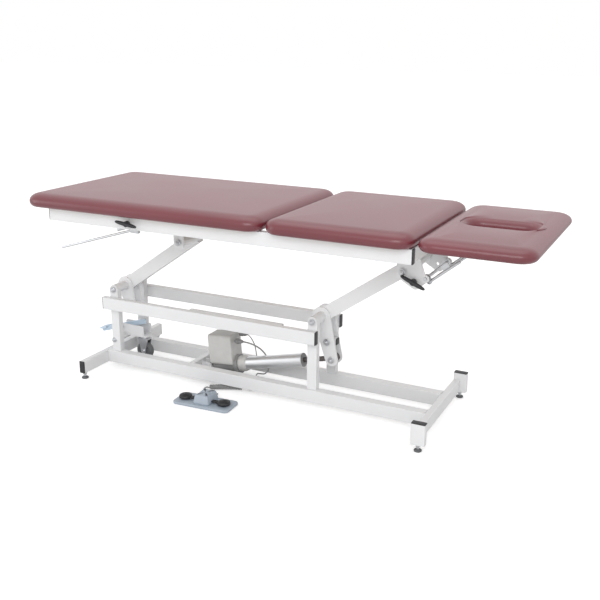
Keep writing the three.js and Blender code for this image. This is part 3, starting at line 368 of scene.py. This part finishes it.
def rounded_outline(width, depth, radius, inset=0.0, arc=9):
    """Points round a rectangle with round corners, moved in by an inset that leaves its corner centres."""
    turn = np.linspace(0, math.pi / 2, arc)[None, :] + np.arange(4)[:, None] * math.pi / 2
    centre_x = np.array([1, -1, -1, 1])[:, None] * (width / 2 - radius)
    centre_y = np.array([1, 1, -1, -1])[:, None] * (depth / 2 - radius)
    reach = radius - inset
    return np.stack([centre_x + reach * np.cos(turn), centre_y + reach * np.sin(turn)], -1).reshape(-1, 2)


def prism(name, body, finish, size, radius, edge, place, axes=np.eye(3), taper=0.0):
    """A block with round corners and rounded ends: its outline is carried up through insets at each end.

    The end's inset follows a quarter circle, and the sides may taper inwards towards the top.
    """
    width, depth, height = size
    turn = np.linspace(0, math.pi / 2, 5)
    inset = edge * (1 - np.sin(turn))
    rise = edge * (1 - np.cos(turn))
    insets = np.concatenate([inset, inset[::-1]])
    heights = np.concatenate([rise, height - rise[::-1]])
    rings = [np.zeros((36, 2))]
    rings += [rounded_outline(width, depth, radius, i + taper * h) for i, h in zip(insets, heights)]
    rings += [np.zeros((36, 2))]
    heights = np.concatenate([[0.0], heights, [height]])
    grid = np.concatenate([np.stack(rings), np.broadcast_to(heights[:, None, None], (len(rings), 36, 1))], -1)
    return surface(name, body, finish, grid @ axes + np.array(place))


def hexagon_nut(name, body, finish, radius, height, place, direction):
    """A six-sided nut with chamfered corners: a lathe of six sides with its ends drawn in."""
    profile = [(0, 0), (radius, 0), (radius, 0.8 * height), (0.86 * radius, height), (0, height)]
    return lathe(name, body, finish, profile, place, direction, sides=6, sharp=20)


def bolt_head(name, body, place, direction, radius=0.008, washer=0.0125):
    """A washer, a nut on it and the rounded end of its bolt."""
    place, along = np.array(place, float), np.array(direction, float)
    flat = [(0, 0), (washer, 0), (washer, 0.0012), (washer - 0.0006, 0.0018), (0, 0.0018)]
    parts = [
        lathe(name, body, "zinc", flat, place, direction, 32),
        hexagon_nut(name, body, "zinc", radius * 1.12, 0.0065, place + 0.0018 * along, direction),
        lathe(name, body, "zinc", [(0, 0), (0.0048, 0), (0.0048, 0.0024), (0.0036, 0.0034), (0, 0.0034)],
              place + 0.0083 * along, direction, 20),
    ]
    return joined(name, parts)


def smooth_route(points, count):
    """A smooth curve through points: each stretch is a centripetal blend, sampled evenly along its length."""
    points = np.array(points, float)
    ends = np.concatenate([[2 * points[0] - points[1]], points, [2 * points[-1] - points[-2]]])
    step = np.linspace(0, 1, 24, endpoint=False)[:, None]
    p0, p1, p2, p3 = (ends[i: len(ends) - 3 + i][:, None, :] for i in range(4))
    curve = 0.5 * (
        2 * p1 + (p2 - p0) * step + (2 * p0 - 5 * p1 + 4 * p2 - p3) * step**2
        + (3 * p1 - p0 - 3 * p2 + p3) * step**3
    )
    dense = np.concatenate([curve.reshape(-1, 3), points[-1:]])
    length = np.concatenate([[0], np.cumsum(np.linalg.norm(np.diff(dense, axis=0), axis=1))])
    even = np.linspace(0, length[-1], count)
    return np.stack([np.interp(even, length, dense[:, i]) for i in range(3)], -1)


def cable(name, body, finish, route, radius):
    """A round cable along a route: a curve with a round section and closed ends."""
    data = bpy.data.curves.new(name, "CURVE")
    data.dimensions = "3D"
    data.bevel_depth = radius
    data.bevel_resolution = 3
    data.use_fill_caps = True
    line = data.splines.new("POLY")
    line.points.add(len(route) - 1)
    line.points.foreach_set("co", np.concatenate([route, np.ones((len(route), 1))], 1).ravel())
    line.use_smooth = True
    data.materials.append(FINISHES[finish])
    piece = bpy.data.objects.new(name, data)
    bpy.context.scene.collection.objects.link(piece)
    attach(piece, body)
    return piece


# =============== cords ===============

# Routes of the leads, along the middle of the couch's own cord solids.
BOX_LEAD = [
    (-0.233, -0.014, 0.176), (-0.214, -0.014, 0.178), (-0.186, -0.014, 0.179), (-0.158, -0.006, 0.172),
    (-0.135, 0.014, 0.152), (-0.120, 0.034, 0.122), (-0.106, 0.034, 0.092), (-0.097, 0.016, 0.068),
    (-0.097, -0.014, 0.062), (-0.101, -0.040, 0.070), (-0.106, -0.058, 0.076), (-0.108, -0.064, 0.070),
    (-0.108, -0.064, 0.0643),
]
SUPPLY_LEAD = [
    (-0.108, -0.064, 0.0337), (-0.108, -0.064, 0.024), (-0.113, -0.064, 0.011), (-0.126, -0.064, 0.0045),
    (-0.141, -0.0655, 0.0045), (-0.153, -0.0675, 0.008),
]
CURLED_CORD = [
    (-0.166, -0.072, 0.0115), (-0.200, -0.086, 0.0115), (-0.245, -0.106, 0.0115), (-0.282, -0.128, 0.0115),
]
SWITCH_LEAD = [
    (-0.292, -0.135, 0.012), (-0.297, -0.147, 0.008), (-0.288, -0.161, 0.0036), (-0.262, -0.172, 0.0036),
    (-0.234, -0.178, 0.005), (-0.216, -0.184, 0.014), (-0.208, -0.191, 0.022), (-0.207, -0.1999, 0.024),
]


def curled(route, radius, pitch):
    """A helix about a route, which it turns round once in each pitch, and half a turn more.

    Each point is the route's own, plus radius * (across * cos turn + up * sin turn).
    """
    spine = smooth_route(route, SPINE_POINTS)
    along = np.gradient(spine, axis=0)
    along /= np.linalg.norm(along, axis=1)[:, None]
    side = np.cross(along, [0, 0, 1.0])
    side /= np.linalg.norm(side, axis=1)[:, None]
    up = np.cross(side, along)
    length = np.linalg.norm(np.diff(spine, axis=0), axis=1).sum()
    count = int(length / pitch * CURL_STEPS)
    share = np.linspace(0, 1, count)
    turn = 2 * math.pi * share * (round(length / pitch) + 0.5)
    index = np.linspace(0, 1, SPINE_POINTS)
    line, across, rise = (
        np.stack([np.interp(share, index, field[:, i]) for i in range(3)], -1)
        for field in (spine, side, up)
    )
    return line + radius * (across * np.cos(turn)[:, None] + rise * np.sin(turn)[:, None])


def make_cords():
    """The curly foot switch cord, from the coupler on the base rail to the switch."""
    helix = curled(CURLED_CORD, CURL_R - LEAD_R, CURL_PITCH)
    start = smooth_route(SUPPLY_LEAD + [tuple(helix[0])], 26)
    end = smooth_route([tuple(helix[-1])] + SWITCH_LEAD, 44)
    route = np.concatenate([start[:-1], helix, end[1:]])
    cord = cable("foot_switch_cord", "base", "cord_grey", route, LEAD_R)
    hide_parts("supply_lead", "curled_cord", "switch_lead")


# =============== upholstery ===============

def rolled_edge(thickness):
    """Insets and heights of the rolled edge from the board up: two quarter ovals that meet at the waist."""
    low = np.linspace(-math.pi / 2, 0, 10)
    high = np.linspace(0, math.pi / 2, 16)[1:]
    insets = np.concatenate([ROLL_FOOT * (1 - np.cos(low)), ROLL_WIDTH * (1 - np.cos(high) ** 0.9)])
    waist = ROLL_WAIST * thickness
    heights = np.concatenate([waist * (1 + np.sin(low)), waist + (thickness - waist) * np.sin(high) ** 0.92])
    return insets, heights


def ray_ring(outline, middle):
    """An outline resampled at even angles about a middle point."""
    reach = outline - middle
    angle = np.unwrap(np.arctan2(reach[:, 1], reach[:, 0]))
    order = np.argsort(angle)
    angle, points = angle[order], outline[order]
    angle = np.concatenate([angle - 2 * math.pi, angle, angle + 2 * math.pi])
    points = np.concatenate([points, points, points])
    turn = np.linspace(0, 2 * math.pi, RING_POINTS, endpoint=False)
    return np.stack([np.interp(turn, angle, points[:, i]) for i in range(2)], -1)


def dense(outline, count=1600):
    """A closed outline with points at even distances."""
    loop = np.concatenate([outline, outline[:1]])
    length = np.concatenate([[0], np.cumsum(np.linalg.norm(np.diff(loop, axis=0), axis=1))])
    even = np.linspace(0, length[-1], count, endpoint=False)
    return np.stack([np.interp(even, length, loop[:, i]) for i in range(2)], -1)


def cushion_rings(low, high, thickness, middle):
    """Rings of the outer edge, one for each inset: the outline moved in by it."""
    width, depth = high.x - low.x, high.y - low.y
    centre = np.array([(low.x + high.x) / 2, 0.0])
    insets, heights = rolled_edge(thickness)
    rings = []
    for inset in insets:
        outline = rounded_outline(width, depth, CUSHION_CORNER, inset, arc=17) + centre
        rings.append(ray_ring(dense(outline), middle))
    return np.stack(rings), heights


def make_cushion(name, body, slot_middle=None):
    """A firm upholstered section: crowned top, broad rolled edge, and the vinyl turned under to the board.

    Each ring of the surface is the outline moved in by an inset at a height; the crown rises as
    1 - share squared from the roll to the middle.
    """
    low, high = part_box(name)
    thickness = high.z - low.z - CROWN
    centre = np.array([(low.x + high.x) / 2 if slot_middle is None else slot_middle, 0.0])
    rings, heights = cushion_rings(low, high, thickness, centre)
    steps = np.linspace(0, 1, 26)[1:]
    if slot_middle is None:
        share = 1 - steps
        top = centre + (rings[-1] - centre) * share[:, None, None]
        top_z = thickness + CROWN * (1 - share**2)
        under = centre + (rings[0] - centre) * np.array([0.0, 0.5])[:, None, None]
        grid = np.concatenate([under, rings, top])
        z = np.concatenate([[0.0, 0.0], heights, top_z])
        wrap = False
    else:
        inner, inner_z = slot_rings(centre, thickness)
        share = steps[:-1, None, None]
        top = rings[-1] * (1 - share) + inner[0] * share
        top_z = thickness + CROWN * np.sin(math.pi * steps[:-1])
        grid = np.concatenate([rings, top, inner])
        z = np.concatenate([heights, top_z, inner_z])
        wrap = True
    points = np.concatenate([grid, np.broadcast_to(z[:, None, None], (len(z), RING_POINTS, 1))], -1)
    points[..., 2] += low.z
    cushion = surface(name + "_cover", body, "vinyl", points, wrap_rows=wrap, sharp=180)
    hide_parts(name)


def slot_rings(centre, thickness):
    """Rings of the nose slot from the top down: a rolled lip, a straight wall and a small roll under."""
    turn = np.linspace(0, math.pi / 2, 12)
    outset = np.concatenate([0.026 * (1 - np.sin(turn)), [0.0, 0.0], 0.012 * (1 - np.cos(turn[::2]))])
    height = np.concatenate(
        [thickness - 0.024 * (1 - np.cos(turn)), [0.018, 0.010], 0.010 * (1 - np.sin(turn[::2]))]
    )
    low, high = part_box("head_cushion")
    half = (high.x - low.x) * SLOT_HALF
    rings = []
    for out in outset:
        radius = SLOT_R + out
        ends = np.linspace(-math.pi / 2, math.pi / 2, 40)
        right = np.stack([half + radius * np.cos(ends), radius * np.sin(ends)], -1)
        outline = np.concatenate([right, -right]) + centre
        rings.append(ray_ring(dense(outline), centre))
    return np.stack(rings), height


def make_upholstery():
    """The three cushions; the head one has the nose slot."""
    make_cushion("foot_cushion", "foot_section")
    make_cushion("middle_cushion", "deck")
    make_cushion("head_cushion", "head_section", slot_middle=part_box("head_cushion")[0].x + SLOT_MIDDLE)


# =============== tube caps and bolts ===============

def tube_cap(name, body, place, size, axes):
    """A black insert that closes a tube's end: a thin lid with rounded edges."""
    return prism(name, body, "black_plastic", (size[0], size[1], CAP_PROUD), 0.0035, 0.0011, place, axes)


ALONG_X = np.array([[0, 1.0, 0], [0, 0, 1.0], [1.0, 0, 0]])
BACK_X = np.array([[0, -1.0, 0], [0, 0, 1.0], [-1.0, 0, 0]])
ALONG_Y = np.array([[-1.0, 0, 0], [0, 0, 1.0], [0, 1.0, 0]])
BACK_Y = np.array([[1.0, 0, 0], [0, 0, 1.0], [0, -1.0, 0]])


def make_caps():
    """Caps on every open tube end."""
    for side in ("near", "far"):
        for rail, body in (("upper_rail", "base"), ("deck_rail", "deck")):
            low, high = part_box(f"{rail}_{side}")
            middle = (low + high) / 2
            size = (TUBE_THIN, TUBE_TALL)
            tube_cap(f"{rail}_cap_foot_{side}", body, (low.x, middle.y, middle.z), size, BACK_X)
            tube_cap(f"{rail}_cap_head_{side}", body, (high.x, middle.y, middle.z), size, ALONG_X)
        low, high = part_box(f"head_post_{side}")
        middle = (low + high) / 2
        place = (middle.x, middle.y, high.z)
        tube_cap(f"head_post_cap_{side}", "base", place, (TUBE_TALL, TUBE_THIN), np.eye(3))
    low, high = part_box("foot_crossbar")
    middle = (low + high) / 2
    size = (TUBE_THIN, TUBE_TALL)
    tube_cap("foot_crossbar_cap_near", "base", (middle.x, low.y, middle.z), size, BACK_Y)
    tube_cap("foot_crossbar_cap_far", "base", (middle.x, high.y, middle.z), size, ALONG_Y)
    low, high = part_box("tie_bar")
    level = low.z + TUBE_THIN / 2
    tube_cap("tie_bar_cap_foot", "tie", (low.x, 0, level), (TUBE_THIN, TUBE_THIN), BACK_X)
    tube_cap("tie_bar_cap_head", "tie", (high.x, 0, level), (TUBE_THIN, TUBE_THIN), ALONG_X)


def make_bolts():
    """Washers, nuts and bolt ends on every pivot that shows, on both sides."""
    for side, sign in (("near", -1), ("far", 1)):
        for end in ("foot", "head"):
            low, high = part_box(f"{end}_pivot_shaft")
            middle = (low + high) / 2
            y = (high.y if sign > 0 else low.y) + NUT_GAP * sign
            bolt_head(f"{end}_pivot_nut_{side}", "base", (middle.x, y, middle.z), (0, sign, 0))
            low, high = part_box(f"{end}_upper_shaft")
            middle = (low + high) / 2
            y = (high.y if sign > 0 else low.y) + NUT_GAP * sign
            bolt_head(f"{end}_upper_nut_{side}", "deck", (middle.x, y, middle.z), (0, sign, 0))
        low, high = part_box(f"foot_upright_{side}")
        y = high.y if sign > 0 else low.y
        carrier = Vector(joints["caster_drop"]["pos_m"])
        bolt_head(f"carrier_nut_{side}", "base", (carrier.x, y, carrier.z), (0, sign, 0), 0.007, 0.011)
        pin = Vector(joints["actuator_pin"]["pos_m"])
        tie = Vector(joints["tie_hinge"]["pos_m"])
        bolt_head(f"crank_pin_nut_{side}", "head_arm", (pin.x, sign * CRANK_FACE, pin.z), (0, sign, 0))
        bolt_head(f"crank_tie_nut_{side}", "head_arm", (tie.x, sign * CRANK_FACE, tie.z), (0, sign, 0))


# =============== actuator ===============

def make_actuator():
    """The actuator's parts about its own axis: profile tube, end ring, collar, gear housing and rear eye."""
    pin = np.array(joints["actuator_pin"]["pos_m"], float)
    back = np.array(joints["actuator_stroke"]["axis"], float)
    tube = [
        (0.010, 0.130), (0.027, 0.130), (0.0275, 0.1305), (0.0275, 0.1375), (0.027, 0.138), (0.026, 0.138),
        (0.026, 0.380), (0.012, 0.380), (0.0104, 0.378), (0.0104, 0.131),
    ]
    cover = lathe("actuator_profile", "actuator_body", "aluminium", tube + tube[:1], pin, back, 64)
    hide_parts("actuator_tube")
    ring = [(0.0106, 0.1275), (0.0262, 0.1275), (0.0272, 0.1285), (0.0272, 0.1298), (0.0106, 0.1298)]
    lathe("actuator_end_ring", "actuator_body", "dark_grey_plastic", ring + ring[:1], pin, back, 64)
    collar = [
        (0.020, 0.3803), (0.0255, 0.3803), (0.029, 0.384), (0.0312, 0.389), (0.032, 0.394), (0.032, 0.4138),
        (0.020, 0.4138),
    ]
    collar = lathe("actuator_collar", "actuator_body", "grey_plastic", collar + collar[:1], pin, back, 64)
    housing = [
        (0, 0.4143), (0.038, 0.4143), (0.039, 0.4153), (0.039, 0.4293), (0.038, 0.4303), (0.0302, 0.4303),
        (0.030, 0.4308), (0.030, 0.526), (0.0285, 0.531), (0.025, 0.5333), (0, 0.5333),
    ]
    housing = lathe("gear_housing", "actuator_body", "dark_grey_plastic", housing, pin, back, 64)
    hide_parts("actuator_housing")
    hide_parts("actuator_housing")
    neck = prism(
        "rear_lug", "actuator_body", "dark_steel", (0.026, 0.026, 0.026), 0.002, 0.001,
        pin + 0.5335 * back, axes_along(back),
    )
    eye = [(0, -0.0135), (0.012, -0.0135), (0.013, -0.0125), (0.013, 0.0125), (0.012, 0.0135), (0, 0.0135)]
    eye = lathe("rear_eye", "actuator_body", "dark_steel", eye, pin + 0.5593 * back, (0, 1.0, 0), 48)
    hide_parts("actuator_housing")
    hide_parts("actuator_housing")


def make_box_cables():
    """Plugs in the motor box's front face and the two cables that leave them."""
    lead = cable("motor_box_cable", "actuator_body", "cord_grey", smooth_route(BOX_LEAD, 120), LEAD_R)
    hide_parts("box_lead")
    upper = [(-0.222, 0.020, 0.199), (-0.200, 0.020, 0.200), (-0.182, 0.020, 0.192), (-0.166, 0.022, 0.168),
             (-0.160, 0.026, 0.140), (-0.158, 0.030, 0.112)]
    cable("sensor_cable", "actuator_body", "cord_grey", smooth_route(upper, 80), 0.002)
    plug = [(0, 0), (0.010, 0), (0.011, 0.001), (0.011, 0.012), (0.0085, 0.014), (0.0085, 0.022),
            (0.0045, 0.032), (0, 0.032)]
    lathe("lead_plug", "actuator_body", "dark_grey_plastic", plug, (-0.226, -0.014, 0.1775), (1, 0, 0.04), 32)
    lathe("sensor_plug", "actuator_body", "dark_grey_plastic", plug, (-0.226, 0.020, 0.199), (1, 0, 0.02), 32)


# =============== foot switch, caster, feet and knobs ===============

def make_foot_switch():
    """The foot switch: plate, centre hump and two domed pedals, turned a little on the floor."""
    low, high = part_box("foot_switch_base")
    up_axis = joints["raise_press"]["axis"]
    turn = math.atan2(-up_axis[0], up_axis[1])
    axes = np.array([[math.cos(turn), math.sin(turn), 0], [-math.sin(turn), math.cos(turn), 0], [0, 0, 1]])
    centre = np.array([(low.x + high.x) / 2, (low.y + high.y) / 2, 0])
    plate = prism("plate", "base", "switch_grey", (0.236, 0.104, 0.011), 0.018, 0.0035, centre, axes)
    hump = prism("hump", "base", "switch_grey", (0.072, 0.090, 0.0365), 0.012, 0.008,
                 centre + np.array([0, 0.003, 0.0098]) @ axes, axes, taper=0.28)
    switch = joined("foot_switch_shell", [plate, hump])
    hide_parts("foot_switch_base")
    for side, sign, body in (("raise", 1, "pedal_up"), ("lower", -1, "pedal_down")):
        place = centre + np.array([0.082 * sign, -0.006, 0.015]) @ axes
        dome = [
            (0, 0), (0.0235, 0), (0.025, 0.0015), (0.025, 0.0075), (0.0235, 0.0105), (0.0205, 0.0125),
            (0.0195, 0.0122), (0.0185, 0.0130), (0.014, 0.0155), (0.007, 0.0175), (0, 0.018),
        ]
        pad = lathe(f"{side}_pad", body, "black_plastic", dome, place, (0, 0, 1), 56, sharp=60)
        tongue = prism(f"{side}_tongue", body, "black_plastic", (0.0355, 0.018, 0.006), 0.004, 0.0015,
                       place + np.array([-0.0322 * sign, 0, 0.002]) @ axes, axes)
        pedal = joined(f"{side}_pedal_cover", [pad, tongue])
        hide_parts(f"{side}_pedal")


def make_caster():
    """The caster's wheel: a rubber tread with a rounded crown on a hub with webs drawn in."""
    centre = joints["caster_roll"]["pos_m"]
    wheel = [
        (0.0045, -0.012), (0.0115, -0.012), (0.0135, -0.0085), (0.0255, -0.0085), (0.0285, -0.0118),
        (0.0325, -0.012), (0.0355, -0.0105), (0.0372, -0.006), (0.0375, 0),
    ]
    mirrored = [(r, -y) for r, y in reversed(wheel[:-1])]
    outline = wheel + mirrored + wheel[:1]
    tyre = lathe("caster_tyre", "caster_roller", "grey_rubber", outline, centre, (0, 1, 0), 72)
    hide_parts("caster_wheel")


def make_feet():
    """Levelling feet: a black pad, a zinc stem and a locknut."""
    for end in ("foot", "head"):
        for side in ("near", "far"):
            low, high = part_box(f"{end}_glide_{side}")
            place = ((low.x + high.x) / 2, (low.y + high.y) / 2, 0)
            pad = [
                (0, 0), (0.0125, 0), (0.014, 0.0015), (0.014, 0.005), (0.012, 0.0068), (0.007, 0.0085),
                (0, 0.0088),
            ]
            stem = [
                (0, 0.0085), (0.005, 0.0085), (0.005, 0.0222), (0.0095, 0.0222), (0.0095, 0.0248),
                (0, 0.0248),
            ]
            nut_place = (place[0], place[1], 0.0165)
            foot = joined(f"{end}_foot_{side}", [
                lathe("pad", "base", "grey_rubber", pad, place, (0, 0, 1), 40),
                lathe("stem", "base", "zinc", stem, place, (0, 0, 1), 32),
                hexagon_nut("locknut", "base", "zinc", 0.0085, 0.005, nut_place, (0, 0, 1)),
            ])
            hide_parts(f"{end}_glide_{side}")


def make_knobs():
    """T-handles: a grip that swells at its middle and thins to blunt ends, on a hub and a zinc screw."""
    for end, tilt, screw_r, screw in (("head", -24, 0.005, 0.030), ("foot", -8, 0.006, 0.008)):
        place = np.array(joints[f"{end}_knob_turn"]["pos_m"], float)
        place[1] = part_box(f"{end}_prop_knob")[0].y + GRIP_R
        along = np.array([math.cos(math.radians(tilt)), 0, math.sin(math.radians(tilt))])
        share = np.linspace(-1, 1, 41)
        blunt = np.sqrt(np.clip(1 - np.abs(share) ** 7, 0, 1))
        radius = GRIP_R * blunt * (0.78 + 0.22 * np.cos(share * math.pi / 2))
        grip_profile = np.stack([radius, share * GRIP_HALF], -1)
        grip = lathe("grip", f"{end}_knob", "black_plastic", grip_profile, place, along, 28)
        hub_profile = [
            (0, -0.003), (0.0095, -0.003), (0.011, -0.001), (0.011, 0.013), (0.010, 0.015), (0, 0.015),
        ]
        hub = lathe("hub", f"{end}_knob", "black_plastic", hub_profile, place, (0, 1, 0), 40)
        screw_profile = [(0, 0.0148), (screw_r, 0.0148), (screw_r, 0.015 + screw), (0, 0.015 + screw)]
        thread = lathe("screw", f"{end}_knob", "zinc", screw_profile, place, (0, 1, 0), 24)
        knob = joined(f"{end}_knob_handle", [grip, hub, thread])
        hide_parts(f"{end}_prop_knob")


# =============== the room ===============

def make_room():
    """A pale floor with the couch's soft shadow, and a white surround."""
    mesh = bpy.data.meshes.new("floor")
    reach = 30.0
    corners = [(-reach, -reach, 0), (reach, -reach, 0), (reach, reach, 0), (-reach, reach, 0)]
    mesh.from_pydata(corners, [], [(0, 1, 2, 3)])
    floor = bpy.data.objects.new("floor", mesh)
    floor.location.z = -0.0005
    bpy.context.scene.collection.objects.link(floor)
    finish = Finish("pale_floor", (0.80, 0.80, 0.80), 0.9)
    path = finish.add("ShaderNodeLightPath")
    seen = Field(finish, path.socket.node.outputs["Is Camera Ray"])
    finish.feed(finish.shader.inputs["Emission Strength"], seen * FLOOR_GLOW)
    finish.shader.inputs["Emission Color"].default_value = (1, 1, 1, 1)
    mesh.materials.append(finish.material)

    world = bpy.data.worlds.new("surround")
    bpy.context.scene.world = world
    world.use_nodes = True
    tree = world.node_tree
    background = tree.nodes["Background"]
    background.inputs["Color"].default_value = (1, 1, 1, 1)
    light_path = tree.nodes.new("ShaderNodeLightPath")
    either = tree.nodes.new("ShaderNodeMath")
    either.operation = "MAXIMUM"
    tree.links.new(light_path.outputs["Is Camera Ray"], either.inputs[0])
    tree.links.new(light_path.outputs["Is Glossy Ray"], either.inputs[1])
    level = tree.nodes.new("ShaderNodeMath")
    level.operation = "MULTIPLY_ADD"
    level.inputs[1].default_value = 1.0 - ROOM_LIGHT
    level.inputs[2].default_value = ROOM_LIGHT
    tree.links.new(either.outputs[0], level.inputs[0])
    tree.links.new(level.outputs[0], background.inputs["Strength"])
    soft_light("key_light", (1.0, -3.4, 2.6), (0, 0, 0.5), (3.2, 1.6), 50)
    soft_light("side_light", (-3.6, -2.4, 0.9), (0, 0, 0.6), (1.2, 2.4), 18)
    soft_light("top_light", (0, 0.4, 3.6), (0, 0, 0.3), (3.6, 2.2), 24)


# =============== the object ===============

KEPT_NODES = {
    "dark_steel": ["actuator_rod"],
    "blue_paint": ["caster_lever"],
    "grey_plastic": ["motor_box"],
    "black_plastic": ["cord_coupler"],
    "plywood": ["foot_board", "middle_board", "head_board"],
    "zinc": [
        "foot_pivot_shaft", "head_pivot_shaft", "foot_upper_shaft", "head_upper_shaft", "head_prop_lower",
        "head_prop_upper", "head_prop_bracket", "foot_prop_bracket", "foot_prop_rod", "foot_prop_clamp",
        "caster_fork",
    ],
}


def finish_nodes():
    """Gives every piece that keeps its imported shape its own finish; what isn't listed is painted white."""
    finish_of = {node: finish for finish, nodes in KEPT_NODES.items() for node in nodes}
    for name, node in frame["nodes"].items():
        node.data.materials.clear()
        node.data.materials.append(FINISHES[finish_of.get(name, "white_paint")])


make_camera()
FINISHES = make_finishes()
make_cords()
make_room()
finish_nodes()
make_upholstery()
make_caps()
make_bolts()
make_actuator()
make_box_cables()
make_foot_switch()
make_caster()
make_feet()
make_knobs()
